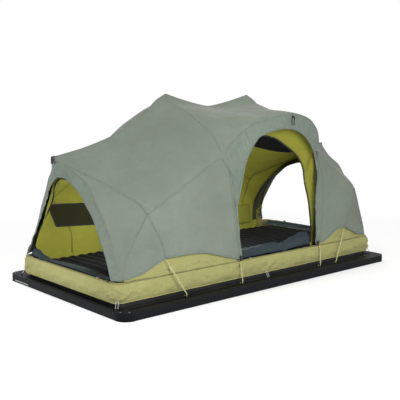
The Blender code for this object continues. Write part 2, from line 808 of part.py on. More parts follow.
def build_deck(mat, board_mat):
    deck_bottom = DECK_TOP - DECK_THICKNESS
    reach = RAIL_INNER_Y - GAP
    for i in range(SLAT_COUNT):
        x = (i - (SLAT_COUNT - 1) / 2) * RAIL_END_X * 2 / SLAT_COUNT
        bm = bmesh.new()
        top = deck_bottom - GAP
        low = (x - SLAT_WIDTH / 2, -reach, top - SLAT_HEIGHT)
        box_mesh(bm, low, (x + SLAT_WIDTH / 2, reach, top))
        mesh_object(f"slat_{i + 1}", bm, mat)
    bm = bmesh.new()
    length = RAIL_END_X - GAP
    box_mesh(bm, (-length, -reach, deck_bottom), (length, reach, DECK_TOP))
    mesh_object("deck_panel", bm, mat)
    bm = bmesh.new()
    board_x, board_y = RAIL_END_X - 0.001, TUB_Y - BASE_BOARD_MARGIN
    low = (-board_x, -board_y, DECK_TOP + GAP)
    box_mesh(bm, low, (board_x, board_y, TUB_BOTTOM - GAP))
    mesh_object("base_board", bm, board_mat)


# Tub, frame and mattress


def rounded_loop(x, y, radius, z, corner_steps=5, side_steps=4):
    """Points round a rectangle with rounded corners."""
    points = []
    corners = [(1, 1), (-1, 1), (-1, -1), (1, -1)]
    for k, (sx, sy) in enumerate(corners):
        centre = Vector((sx * (x - radius), sy * (y - radius), z))
        for i in range(corner_steps):
            angle = math.pi / 2 * (k + i / (corner_steps - 1))
            arm = Vector((math.cos(angle), math.sin(angle), 0))
            points.append(centre + arm * radius)
        n = corners[(k + 1) % 4]
        following = Vector((n[0] * (x - radius), n[1] * (y - radius), z))
        angle = math.pi / 2 * (k + 1)
        following += Vector((math.cos(angle), math.sin(angle), 0)) * radius
        last = points[-1]
        points += [last.lerp(following, i / side_steps) for i in range(1, side_steps)]
    return points


def loft(bm, loops):
    """Joins closed loops of equal length and caps the first and the last."""
    rings = [[bm.verts.new(p) for p in loop] for loop in loops]
    for one, two in zip(rings, rings[1:]):
        for k in range(len(one)):
            n = (k + 1) % len(one)
            bm.faces.new((one[k], one[n], two[n], two[k]))
    bm.faces.new(rings[0])
    bm.faces.new(rings[-1])


def tub_rows():
    """Distance outside the tub's face, and height, from the floor's edge round to the inside."""
    top = TUB_TOP
    rows = [(-0.004, TUB_BOTTOM), (0.0, TUB_BOTTOM + 0.004)]
    for i in range(1, 6):
        share = i / 6
        rows.append((TUB_BULGE * math.sin(math.pi * share), TUB_BOTTOM + 0.004 + share * 0.099))
    rows += [(0.0, top - 0.004), (-0.004, top), (-0.020, top), (-TUB_WALL, top - 0.004)]
    return rows + [(-TUB_WALL, FLOOR_TOP)]


def build_tub(mat):
    bm = bmesh.new()
    loops = []
    for out, z in tub_rows():
        loops.append(rounded_loop(TUB_X + out, TUB_Y + out, TUB_CORNER + out, z))
    loft(bm, loops)
    return mesh_object("tub", bm, mat, 40)


def build_base_frame(mat):
    bm = bmesh.new()
    bottom = FLOOR_TOP + GAP
    outer = (FRAME_END_X, FRAME_Y, 0.024)
    inner = (FRAME_END_X - FRAME_BAR_WIDTH + 0.003, FRAME_Y - FRAME_BAR_WIDTH, 0.006)
    rings = []
    for (x, y, radius), z in (
        (outer, bottom), (outer, FRAME_TOP), (inner, FRAME_TOP), (inner, bottom),
    ):
        rings.append([bm.verts.new(p) for p in rounded_loop(x, y, radius, z, 4, 1)])
    for one, two in zip(rings, rings[1:] + rings[:1]):
        for k in range(len(one)):
            n = (k + 1) % len(one)
            bm.faces.new((one[k], one[n], two[n], two[k]))
    frame = mesh_object("base_frame", bm, mat, 30)
    lugs, pins = bmesh.new(), bmesh.new()
    for x in (-END_HOOP_FOOT, -MAIN_FOOT_X, MAIN_FOOT_X, END_HOOP_FOOT):
        for sy in (-1, 1):
            outline = [(-LUG_WIDTH / 2, 0, FRAME_TOP - 0.006), (LUG_WIDTH / 2, 0, FRAME_TOP - 0.006)]
            for k in range(7):
                angle = math.pi * k / 6
                outline.append(
                    (LUG_HEAD * math.cos(angle), 0, HINGE_Z + LUG_HEAD * math.sin(angle))
                )
            prism(lugs, outline, (x, sy * LUG_Y, 0), (x, sy * (LUG_Y + LUG_THICKNESS), 0))
            shank = 2 * GAP + 2 * FOOT_EYE_HALF
            profile = [
                (0.0015, PIN_RADIUS), (-shank, PIN_RADIUS), (-shank, PIN_HEAD_RADIUS),
                (-shank - PIN_HEAD, PIN_HEAD_RADIUS),
            ]
            lathe(pins, profile, (x, sy * LUG_Y, HINGE_Z), (0, sy, 0), 16)
    boolean(frame, helper("lugs", lugs), "UNION")
    boolean(frame, helper("pins", pins), "UNION")
    return frame


def mattress_top(x, y):
    """Height of the quilted top at a place."""
    share = min(1, abs(y) / MATTRESS_Y)
    phase = math.cos(2 * math.pi * x / CHANNEL_PITCH)
    top = FLOOR_TOP + GAP + MATTRESS_THICKNESS
    crown = MATTRESS_CROWN * (1 - share**2) - CHANNEL_DEPTH * 0.5 * (1 - phase)
    edge = 0.016 * max(0, (share - 0.94) / 0.06)
    return top + crown - edge


def build_mattress(mat):
    bm = bmesh.new()
    stations_y = [share * MATTRESS_Y for share in (-1, -0.94, -0.511, 0, 0.511, 0.94, 1)]
    steps = 34
    grid = []
    for i in range(steps + 1):
        x = MATTRESS_X * (2 * i / steps - 1)
        wave = round(x / (CHANNEL_PITCH / 2)) * CHANNEL_PITCH / 2
        grid.append([bm.verts.new((x, y, mattress_top(wave, y))) for y in stations_y])
    for one, two in zip(grid, grid[1:]):
        for j in range(len(stations_y) - 1):
            bm.faces.new((one[j], one[j + 1], two[j + 1], two[j]))
    rim = [col[0] for col in grid] + grid[-1][1:] + [col[-1] for col in reversed(grid[:-1])]
    rim += list(reversed(grid[0][1:-1]))
    foot = [bm.verts.new((v.co.x, v.co.y, FLOOR_TOP + GAP)) for v in rim]
    for k in range(len(rim)):
        n = (k + 1) % len(rim)
        bm.faces.new((rim[k], rim[n], foot[n], foot[k]))
    bm.faces.new(foot)
    return mesh_object("mattress", bm, mat, 40)


# Folding frame


def hoop_half(main, sx, seams):
    """One half of a hoop, from the foot on the far side up to the top."""
    rows = []
    if main:
        for z, out in MAIN_LEG:
            x = sx * (PEAK_SPREAD + HOOP_LEAN * (PEAK_Z - z))
            rows.append(Vector((x, FOOT_Y + out, z)))
        return rows + list(reversed(seams.main_hoop(sx, 1)))
    for z, out, along in END_LEG:
        rows.append(Vector((sx * (END_HOOP_FOOT + along), FOOT_Y + out, z)))
    rows += reversed(seams.end_hoop(sx, 1))
    rows[-1] += Vector((-sx * END_TIP_SETBACK, 0, -END_TIP_SETBACK))
    return rows


def build_hoop(name, main, sx, depth, mat):
    half = hoop_half(main, sx, Seams(depth))
    pivot = Vector((sx * (MAIN_FOOT_X if main else END_HOOP_FOOT), FOOT_Y, HINGE_Z))
    start = pivot + (half[0] - pivot).normalized() * 0.0055
    half = [start] + half
    path = half + [Vector((p.x, -p.y, p.z)) for p in reversed(half[:-1])]
    bm = bmesh.new()
    tube(bm, path, POLE_RADIUS, 8, normal=Vector((sx, 0, 0)))
    hoop = mesh_object(name, bm, mat, 40)
    eyes = bmesh.new()
    for sy in (-1, 1):
        rings = []
        for radius, y in (
            (FOOT_EYE_RADIUS, -FOOT_EYE_HALF), (FOOT_EYE_RADIUS, FOOT_EYE_HALF),
            (PIN_RADIUS + PIN_CLEARANCE, FOOT_EYE_HALF), (PIN_RADIUS + PIN_CLEARANCE, -FOOT_EYE_HALF),
        ):
            ring = []
            for k in range(16):
                angle = 2 * math.pi * k / 16
                arm = Vector((math.cos(angle), 0, math.sin(angle))) * radius
                ring.append(eyes.verts.new(Vector((pivot.x, sy * pivot.y + y, pivot.z)) + arm))
            rings.append(ring)
        for one, two in zip(rings, rings[1:] + rings[:1]):
            for k in range(16):
                n = (k + 1) % 16
                eyes.faces.new((one[k], one[n], two[n], two[k]))
    boolean(hoop, helper("eyes_" + name, eyes), "UNION")
    return hoop


def build_frame(mat):
    build_hoop("hoop_main_left", True, -1, NESTED_POLE_DEPTH, mat)
    build_hoop("hoop_main_right", True, 1, OUTER_POLE_DEPTH, mat)
    build_hoop("hoop_end_left", False, -1, END_POLE_DEPTH, mat)
    build_hoop("hoop_end_right", False, 1, END_POLE_DEPTH, mat)


# Small pieces


def build_skirts(mat):
    for name, left, right, sy in SKIRTS:
        bm = bmesh.new()
        low = (left, sy * SKIRT_Y - CLOTH / 2, TUB_TOP + GAP)
        box_mesh(bm, low, (right, sy * SKIRT_Y + CLOTH / 2, TUB_TOP + SKIRT_TOP))
        mesh_object("skirt_" + name, bm, mat)


def guy_top(x, sy):
    """The end of a guy line, just under the fly's edge."""
    seams = Seams(FLY_DEPTH)
    ends = [seams.door_seam_foot(-1), seams.door_seam_foot(1)] if sy < 0 else []
    ends += [seams.far_foot(-1), seams.far_foot(1)] if sy > 0 else []
    ends += [side_point(SEAM_FOOT, -1, sy), side_point(SEAM_FOOT, 1, sy)]
    nearest = min(ends, key=lambda p: abs(p.x - x))
    return nearest + Vector((0, 0, -CORD_DROP))


def guy_path(top_x, x, sy):
    """From the fly's edge down to the rail, through its staple to the knot."""
    z = RAIL_HEIGHT + GAP + CORD_RADIUS
    turn = ANCHOR_Y + 0.0075
    return [
        guy_top(top_x, sy), Vector((x, sy * (turn + 0.0005), z + 0.012)),
        Vector((x, sy * turn, z + 0.0035)), Vector((x, sy * (turn - 0.0022), z + 0.0006)),
        Vector((x, sy * (ANCHOR_Y + 0.0042), z)), Vector((x, sy * (ANCHOR_Y - 0.0052), z)),
    ]


def build_guys(mat):
    for side, rows, sy in (("near", GUY_NEAR, -1), ("far", GUY_FAR, 1)):
        for i, (top_x, x) in enumerate(rows):
            path = guy_path(top_x, x, sy)
            bm = bmesh.new()
            tube(bm, path, CORD_RADIUS, 6)
            guy = mesh_object(f"guy_{side}_{i + 1}", bm, mat, 60)
            knot = bmesh.new()
            z = RAIL_HEIGHT + GAP + KNOT_RADIUS
            y = sy * (ANCHOR_Y - 0.0045 - KNOT_RADIUS)
            bmesh.ops.create_icosphere(
                knot, subdivisions=1, radius=KNOT_RADIUS, matrix=Matrix.Translation((x, y, z))
            )
            boolean(guy, helper(f"knot_{side}_{i + 1}", knot), "UNION")


def ring_outline(width, height, corner):
    """Points round a flat link, as across and up, starting at the foot's middle."""
    across, points = width / 2, []
    centres = [(1, 0), (1, 1), (-1, 1), (-1, 0)]
    for k, (sx, top) in enumerate(centres):
        cx = sx * (across - corner)
        cz = height - corner if top else corner
        for i in range(4):
            angle = math.pi / 2 * (k - 1 + i / 3)
            points.append((cx + corner * math.cos(angle), cz + corner * math.sin(angle)))
    return points


def build_links(mat):
    z = RAIL_HEIGHT + GAP + LINK_WIRE
    for name, centre, outward in link_places():
        out = Vector((*outward, 0)).normalized()
        axis = Vector((0, 0, 1)).cross(out)
        lean = math.radians(LINK_LEAN)
        up = Vector((0, 0, math.cos(lean))) - out * math.sin(lean)
        foot = Vector((*centre, z))
        rows = ring_outline(LINK_WIDTH - 2 * LINK_WIRE, LINK_HEIGHT - 2 * LINK_WIRE, 0.0028)
        path = [foot + axis * a + up * b for a, b in rows]
        bm = bmesh.new()
        tube(bm, path, LINK_WIRE, 8, closed=True, normal=axis.cross(up))
        mesh_object("tie_link_" + name, bm, mat, 60)


def build_zips(tape, metal):
    """Zip tracks on the tub's rim, each with its slider."""
    rows = [
        ("left", Vector((-RIM_X, 0, 0)), Vector((0, 1, 0)), 0.40),
        ("right", Vector((RIM_X, 0, 0)), Vector((0, 1, 0)), 0.40),
        ("near", Vector((DOOR_CENTRE, -RIM_Y, 0)), Vector((1, 0, 0)), 0.31),
    ]
    for name, centre, along, reach in rows:
        side = Vector((0, 0, 1)).cross(along)
        base = TUB_TOP + GAP
        half = ZIP_WIDTH / 2
        outline = [(-half, base), (half, base), (half, base + ZIP_HEIGHT), (-half, base + ZIP_HEIGHT)]
        bm = bmesh.new()
        offsets = [side * a + Vector((0, 0, b)) for a, b in outline]
        prism(bm, offsets, centre - along * reach, centre + along * reach)
        mesh_object("zip_track_" + name, bm, tape)
        inner, outer = half + GAP, half + GAP + SLIDER_WALL
        roof = base + ZIP_HEIGHT + GAP
        outline = [
            (-outer, base), (-outer, roof + 0.0012), (-0.0015, roof + 0.0020), (0.0015, roof + 0.0020),
            (outer, roof + 0.0012), (outer, base), (inner, base), (inner, roof), (-inner, roof),
            (-inner, base),
        ]
        place = centre - along * reach * 0.8
        bm = bmesh.new()
        offsets = [side * a + Vector((0, 0, b)) for a, b in outline]
        prism(bm, offsets, place - along * SLIDER_LENGTH / 2, place + along * SLIDER_LENGTH / 2)
        mesh_object("zip_slider_" + name, bm, metal)


def flap_sheet(name, rows, mat):
    """A soft sheet through rows of places, with its underside on them."""
    bm = bmesh.new()
    low = [[bm.verts.new(p) for p in row] for row in rows]
    high = [[bm.verts.new(Vector(p) + Vector((0, 0, FLAP_THICKNESS))) for p in row] for row in rows]
    for one, two in zip(low, low[1:]):
        for j in range(len(one) - 1):
            bm.faces.new((one[j], one[j + 1], two[j + 1], two[j]))
    for one, two in zip(high, high[1:]):
        for j in range(len(one) - 1):
            bm.faces.new((one[j], one[j + 1], two[j + 1], two[j]))

    def border(grid):
        loop = [row[0] for row in grid] + grid[-1][1:] + [row[-1] for row in reversed(grid[:-1])]
        return loop + list(reversed(grid[0][1:-1]))

    under, over = border(low), border(high)
    for k in range(len(under)):
        n = (k + 1) % len(under)
        bm.faces.new((under[k], under[n], over[n], over[k]))
    return mesh_object(name, bm, mat, 50)


def build_flaps(mat):
    """The opened doors' lower halves, laid in over the edge of the mattress."""
    rises = [0.015, 0.004, 0.0, 0.0]
    rows = []
    for i in range(8):
        share = i / 7
        x = DOOR_CENTRE - 0.285 + 0.575 * share
        ripple = 0.006 * max(0, math.sin(9 * share))
        reaches = [0.006, 0.037, 0.079, 0.137 - 0.02 * math.sin(5 * share)]
        ys = [reach - TUB_INNER_Y for reach in reaches]
        rows.append([Vector((x, y, flap_rest(y) + rise + ripple)) for y, rise in zip(ys, rises)])
    flap_sheet("sill_flap_near", rows, mat)
    for name, sx in (("left", -1), ("right", 1)):
        rows = []
        for i in range(8):
            share = i / 7
            y = (2 * share - 1) * (TUB_INNER_Y - 0.129)
            ripple = 0.006 * max(0, math.sin(8 * share + 1))
            reaches = [0.006, 0.040, 0.069, 0.114 + 0.03 * math.sin(math.pi * share)]
            xs = [TUB_INNER_X - reach for reach in reaches]
            z = flap_rest(y) + ripple
            rows.append([Vector((sx * x, y, z + rise)) for x, rise in zip(xs, rises)])
        flap_sheet("sill_flap_" + name, rows, mat)


def flap_rest(y):
    """Height at which a flap lies on the crests of the mattress."""
    return mattress_top(0, min(abs(y), 0.94 * MATTRESS_Y)) + GAP


def build_trims(tape, metal):
    for name, sx in (("left", -1), ("right", 1)):
        top = end_top(sx)
        face = sx * (abs(top.x) + TAB_STANDOFF)
        bm = bmesh.new()
        low = (min(face, face + sx * 0.003), -TAB_WIDTH / 2, top.z - TAB_LENGTH)
        box_mesh(bm, low, (max(face, face + sx * 0.003), TAB_WIDTH / 2, top.z))
        mesh_object("end_tab_" + name, bm, tape)
    x, z = CLIP_PLACE
    y = -(TUB_Y + HOOD_OUTSET + CLIP_STANDOFF)
    rows = ring_outline(CLIP_WIDTH, CLIP_HEIGHT, 0.009)
    path = [Vector((x + a, y, z - CLIP_HEIGHT / 2 + b)) for a, b in rows]
    bm = bmesh.new()
    tube(bm, path, 0.0020, 8, closed=True, normal=Vector((0, 1, 0)))
    mesh_object("hood_clip", bm, metal, 60)


def main():
    clear_scene()
    fly = material("fly_cloth", (0.22, 0.27, 0.22), 0.8)
    inner = material("inner_cloth", (0.23, 0.23, 0.03), 0.8)
    padded = material("tub_cloth", (0.43, 0.42, 0.14), 0.8)
    slate = material("slate_cloth", (0.045, 0.065, 0.09), 0.8)
    quilt = material("quilt", (0.010, 0.012, 0.015), 0.8)
    charcoal = material("charcoal_metal", (0.020, 0.022, 0.024), 0.45, 0.6)
    pole = material("pole", (0.03, 0.03, 0.03), 0.4, 0.5)
    steel = material("steel", (0.6, 0.6, 0.6), 0.3, 1.0)
    tape = material("tape", (0.01, 0.01, 0.01), 0.7)
    cord = material("cord", (0.58, 0.58, 0.32), 0.7)
    build_rails(charcoal)
    build_corners(charcoal)
    build_deck(charcoal, tape)
    build_tub(padded)
    build_base_frame(charcoal)
    build_mattress(quilt)
    build_inner_tent(inner)
    build_fly(fly)
    build_skirts(padded)
    build_frame(pole)
    build_guys(cord)
    build_links(steel)
    build_zips(tape, steel)
    build_flaps(slate)
    build_trims(tape, steel)


main()
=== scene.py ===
"""Roof top tent, pitched on its platform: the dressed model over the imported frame.

Metres. +X along the long side, -Y towards the side with the hooded door, +Z up.
"""

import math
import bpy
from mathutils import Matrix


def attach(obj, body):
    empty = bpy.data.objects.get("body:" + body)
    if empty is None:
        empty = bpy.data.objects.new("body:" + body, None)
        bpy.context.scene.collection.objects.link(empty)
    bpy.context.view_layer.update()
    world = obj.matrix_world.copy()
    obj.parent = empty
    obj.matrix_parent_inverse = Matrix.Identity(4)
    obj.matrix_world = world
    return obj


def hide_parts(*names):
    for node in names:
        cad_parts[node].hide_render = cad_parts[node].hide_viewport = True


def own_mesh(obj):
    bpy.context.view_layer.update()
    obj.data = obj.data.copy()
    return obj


bl_info = {
    "name": "Roof Top Tent",
    "version": (1, 0, 0),
    "blender": (4, 5, 0),
    "location": "3D View > Sidebar > Tent",
    "description": "Dresses the folding frame and the platform of a roof top tent",
    "category": "Add Mesh",
}

import bmesh
import bpy
from bpy.props import FloatProperty, FloatVectorProperty, IntProperty, PointerProperty
from mathutils import Matrix, Vector, noise
from mathutils.bvhtree import BVHTree

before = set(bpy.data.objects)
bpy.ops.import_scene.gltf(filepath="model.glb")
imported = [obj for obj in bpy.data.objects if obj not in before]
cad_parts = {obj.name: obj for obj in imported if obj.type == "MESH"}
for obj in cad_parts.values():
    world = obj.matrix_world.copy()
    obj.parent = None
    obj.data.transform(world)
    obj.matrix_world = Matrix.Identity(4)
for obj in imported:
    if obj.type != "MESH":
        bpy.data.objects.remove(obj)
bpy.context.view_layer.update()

# The four corners by their sides in X and Y
CORNERS = [(sx, sy) for sx in (-1, 1) for sy in (-1, 1)]

# Platform
HALF_LENGTH = 1.120
HALF_WIDTH = 0.630
RAIL_HEIGHT = 0.046
RAIL_WIDTH = 0.075
RAIL_GROOVES = (0.022, 0.050)
STRIP_PLACE = (0.455, 0.0125)
STRIP_SIZE = (0.170, 0.0055)
GROOVE_WIDTH = 0.008
GROOVE_DEPTH = 0.0035
BOLT_INSETS = (0.052, 0.020)

# Tub
TUB_X = 1.078
TUB_Y = 0.513
TUB_BOTTOM = 0.065
TUB_TOP = 0.172
TUB_CORNER = 0.050
TUB_BULGE = 0.013
TUB_WALL = 0.024
TUB_TIES = [(TUB_X - 0.015, TUB_Y - 0.015), (0.0, TUB_Y)]
TUB_PULL_REACH = 0.17
TUB_CORNER_REACH = 0.34
FLOOR_TOP = 0.068
RIM_X = TUB_X - TUB_WALL / 2
TOGGLE_ROWS = (0.30, -0.42)

# Mattress
MATTRESS_X = 1.015
MATTRESS_Y = 0.450
MATTRESS_BASE = 0.0683
MATTRESS_TOP = 0.1423
MATTRESS_CROWN = 0.008

# Cloth over the hoops
HINGE_Z = 0.187
PEAK_SPREAD = 0.350
HOOP_LEAN = 0.170
PEAK_Z = TUB_TOP + 0.990
RIDGE_DIP = 0.076
DOOR_CENTRE = 0.147
WALL_FLARE = 0.097
HEM_OUTSET = 0.007
HOOD_OUTSET = 0.074
BAND_CENTRE = (-0.03, 0.50)
BAND_END_CENTRE = 0.30
HOOD_SAG = 2.0
HOOD_DROP = 0.025
EAVE_Y = TUB_Y + HOOD_OUTSET - 0.002
EAVE_Z = TUB_TOP + 0.634
INNER_DEPTH = 0.0360
INNER_FOOT = 0.0786
INNER_SEAM_FOOT = 0.150
INNER_WALL_X = 1.030
INNER_CORNER_X = 0.932
INNER_CORNER_Z = 0.205
INNER_CORNER_FLARE = 0.60
INNER_WALL_Y = 0.4600
INNER_WALL_TOP = 0.240
INNER_WALL_FLARE = 0.165
SKIRT_Y = 0.5110
SKIRT_TOP = TUB_TOP + 0.113
SKIRT_X = 1.022
SKIRT_GAP = (-0.22, 0.50)
SKIRT_MIDDLE = 0.30
SKIRT_TUCK_START = 0.84
SKIRT_END = 0.90
SKIRT_TUCK = 0.012
SKIRT_LOW_TOP = TUB_TOP + 0.055
SKIRT_END_TOP = TUB_TOP + 0.026
FOLD_KEEP = 0.55
CORE_HEIGHT = 0.23
CORE_SHARE = 0.8
FLARE_START = 0.018
FAR_FOOT = 0.085
HELD_REACH = 0.045
PEAK_PATCH = 0.055
EAVE_PATCH = 0.020
PATCH_WAIST = 0.16
PATCH_LIFT = 0.0010
TAB_WIDTH = 0.020
CLIP_X = 0.168
CLIP_Z = 1.023
CLIP_GAP = 0.0078
CLIP_WIDTH = 0.012

# Outlines of the fly. Shares run from the start of a seam (0) to its end (1).
HOOP_PROFILE = [
    (0, 0), (0.118, 0.143), (0.35, 0.281), (0.554, 0.433),
    (0.75, 0.593), (0.875, 0.75), (0.956, 0.882), (1, 1),
]
RIDGE_PROFILE = [
    (0, 0), (0.10, 0.122), (0.205, 0.335), (0.315, 0.480),
    (0.495, 0.692), (0.734, 0.867), (1, 1),
]
END_HOOP_PROFILE = [
    (0, 0), (0.144, 0.137), (0.36, 0.337), (0.64, 0.588), (0.90, 0.825), (1, 1),
]
END_HOOP_SWEEP = 1.35
END_TOP = (0.066, 0.634)
SHOULDER = (-0.193, 0.012, 0.345)
SEAM_FOOT = (-0.308, 0.015, 0.096)
CORNER_FOOT = (-0.044, -0.010, 0.008)
SHOULDER_LEG = [(-0.235, 0.030, 0.260), (-0.286, 0.022, 0.170)]
HIP_LINE = [(-0.148, 0.001, 0.266), (-0.106, -0.008, 0.182), (-0.073, -0.014, 0.109)]
BAND_EDGE = [
    (0.168, 0.020, 0.580), (0.278, -0.006, 0.542), (0.409, -0.024, 0.494), (0.487, -0.028, 0.425),
    (0.622, -0.035, 0.327), (0.745, -0.042, 0.221), (0.885, -0.041, 0.100),
]
END_OPENING = [
    (0, 0.027, 0.520), (0.09, 0.014, 0.513), (0.285, -0.001, 0.455), (0.425, -0.014, 0.371),
    (0.567, -0.019, 0.278), (0.690, -0.016, 0.181), (0.800, -0.008, 0.100), (0.895, 0.0, 0.010),
]
BAND_EDGE_RIGHT = [
    (0.168, 0.020, 0.580), (0.30, -0.010, 0.542), (0.50, -0.042, 0.494), (0.64, -0.066, 0.425),
    (0.80, -0.084, 0.327), (0.92, -0.084, 0.221), (0.984, -0.072, 0.100),
]
END_OPENING_RIGHT = [
    (0, 0.024, 0.512), (0.12, 0.004, 0.506), (0.36, -0.040, 0.474), (0.52, -0.072, 0.420),
    (0.66, -0.090, 0.345), (0.80, -0.092, 0.232), (0.905, -0.090, 0.130), (0.968, -0.070, 0.010),
]
INNER_END_OPENING = [
    (0, -0.018, 0.503), (0.214, -0.038, 0.492), (0.38, -0.058, 0.442), (0.487, -0.078, 0.373),
    (0.585, -0.078, 0.298), (0.721, -0.068, 0.213), (0.838, -0.058, 0.118), (0.87, -0.050, 0.018),
]
INNER_END_OPENING_RIGHT = [
    (0, -0.125, 0.492), (0.14, -0.128, 0.488), (0.39, -0.138, 0.444), (0.532, -0.143, 0.403),
    (0.676, -0.148, 0.343), (0.791, -0.148, 0.290), (0.881, -0.163, 0.213), (0.892, -0.193, 0.143),
    (0.887, -0.208, 0.060), (0.887, -0.208, 0.018),
]
HOOD_RIDGE = [
    (-0.511, 0.684), (-0.435, 0.745), (-0.30, 0.814), (-0.16, 0.845), (-0.038, 0.864),
    (0.077, 0.863), (0.182, 0.832), (0.25, 0.770), (0.272, 0.707),
]
DOOR_EDGE = [
    (-0.331, 0.014), (-0.381, 0.217), (-0.398, 0.335), (-0.384, 0.417), (-0.367, 0.540),
    (-0.347, 0.612), (-0.308, 0.684), (-0.244, 0.740), (-0.129, 0.770), (-0.005, 0.775),
    (0.101, 0.747), (0.188, 0.684), (0.254, 0.583), (0.290, 0.454), (0.293, 0.334),
    (0.327, 0.098), (0.334, 0.014),
]
INNER_DOOR_EDGE = [
    (-0.350, 0.014), (-0.395, 0.217), (-0.410, 0.335), (-0.395, 0.450), (-0.360, 0.560),
    (-0.295, 0.650), (-0.205, 0.705), (-0.107, 0.731), (-0.006, 0.712), (0.083, 0.668),
    (0.161, 0.622), (0.223, 0.569), (0.260, 0.507), (0.280, 0.411), (0.319, 0.286),
    (0.351, 0.087), (0.351, 0.014),
]
DOOR_SEAM_LEFT = [(-0.477, 0.528), (-0.457, 0.428), (-0.417, 0.278), (-0.352, 0.008)]
DOOR_SEAM_RIGHT = [(0.318, 0.528), (0.353, 0.428), (0.378, 0.228), (0.378, 0.016)]
HEM_LEFT = [(-0.524, 0.091), (-0.409, 0.065), (-0.304, 0.033)]
HEM_RIGHT = [(0.695, 0.087), (0.607, 0.039), (0.56, 0.020)]
HEM_FAR = [(-0.30, 0.036), (0.0, 0.014), (0.30, 0.036)]
HEM_CORNER = [(-0.208, 0.052), (-0.162, 0.033)]
INNER_DOOR_Y = 0.462

# Lowered door flaps. The roll is its height at shares of the bundle's width.
NEAR_FLAP = 0.612
NEAR_FLAP_X = DOOR_CENTRE - 0.290
NEAR_FLAP_Y = -0.4845
NEAR_FLAP_WIDTH = 0.135
END_FLAP = 0.85
END_FLAP_X = 1.049
END_FLAP_Y = -0.40
END_FLAP_WIDTHS = {-1: 0.078, 1: 0.050}
PLEATS = 2.6
PLEAT_RISE = 0.010
FLAP_REST = 0.140
FLAP_DEPTH = 0.17
FLAP_ROLL = [(0, 0.010), (0.10, 0.042), (0.28, 0.055), (0.50, 0.046), (0.74, 0.022), (1, 0.0)]

# Tapes along the seams and edges
SEAM_WIDTH = 0.010
SEAM_LIFT = 0.0010
BINDING_WIDTH = 0.012
INNER_TAPE = 0.009
EDGE_PROBE = 0.008
EDGE_OVERLAP = 0.06
NET_LIFT = 0.0036

# Windows and pocket of the inner tent. The corners run from the top left round to the bottom
# left, and each panel is cast on the cloth from inside, at CAST_Y for a wall and CAST_Z for a roof.
WALL_WINDOWS = {
    "wall_left": [(-0.905, 0.468), (-0.44, 0.440), (-0.44, 0.305), (-0.862, 0.330)],
    "wall_middle": [(-0.26, 0.580), (0.26, 0.580), (0.26, 0.320), (-0.26, 0.320)],
}
ROOF_WINDOW = [(0.50, -0.285), (0.935, -0.110), (0.935, 0.112), (0.50, 0.295)]
POCKET_X = (0.66, 0.845)
POCKET_Z = (0.170, 0.318)
POCKET_PUFF = 0.007
POCKET_LIFT = 0.004
WINDOW_LIFT = 0.0022
CAST_Y = 0.1
CAST_Z = 0.45

# Guy lines: place along the side, and along the rail
GUY_NEAR = [(-0.770, -0.660), (-0.205, -0.235), (0.525, 0.470), (0.770, 0.630)]
GUY_FAR = [(-0.770, -0.660), (-0.504, -0.450), (0.504, 0.450), (0.770, 0.660)]
ANCHOR_Y = 0.566
CORD_RADIUS = 0.0016
CORD_DROP = 0.0030
STAPLE_GAP = 0.0003
STAPLE_TURN = 0.0075
KNOT_STRAND = 0.0013
LOCK_SIZE = (0.0120, 0.0052, 0.016)

# Steps along each family of seams, before the cloth's own density
RIDGE_STEPS = 6
HOOP_STEPS = 7
LEG_STEPS = 5
HEM_STEPS = 3
HOOD_STEPS = 12

# Slack of the panels, and the gap that is closed between them
WELD_GAP = 0.0001
FLY_SLACK = {"roof": 0.007, "corner": 0.003, "end": 0.004, "side": 0.006, "far": 0.010}
INNER_SLACK = {"roof": 0.008, "corner": 0.0, "end": 0.0, "side": 0.0, "far": 0.008}

# Cloth textures
WEAVE_PITCH = 0.0008
NET_PITCH = 0.0022
STITCH_PITCH = 0.0042
STITCH_WIDTH = 0.0014
STITCH_SHARE = 0.66

# Camera
PHOTO_SIDE = 400
FOCAL_PIXELS = 721.04
CAMERA_PLACE = (-3.124, -3.551, 1.088)
CAMERA_YAW = 41.867
CAMERA_PITCH = -6.407
CAMERA_SHIFT = (14.6, -13.3)
SENSOR = 36

# Lights, each with its place, its target, its width and its power
LIGHTS = [
    ("key_light", (-1.3, -3.7, 1.6), (-0.3, 0, 0.5), 1.5, 104),
    ("end_light", (-3.6, 1.2, 0.5), (-1.1, 0, 0.1), 1.4, 52),
    ("top_light", (-0.6, 0.6, 5.2), (0, 0, 0.5), 4.0, 66),
    ("rear_light", (2.6, 4.6, 3.0), (0, 0, 0.5), 3.0, 42),
    ("inside_light", (0.1, 0.0, 0.52), (0.1, 0, 0.2), 0.5, 3.4),
    ("inside_glow", (0.2, -0.06, 0.24), (0.2, 0.1, 0.9), 0.8, 3.2),
    ("inside_left", (-0.70, -0.10, 0.37), (-0.70, 0.46, 0.30), 0.22, 2.6),
]
SKY_LEVEL = 0.36
FLOOR_RADIUS = 60
FLOOR_FADE = (1.7, 3.2)
FLOOR_GLOW = 0.42


# Paths


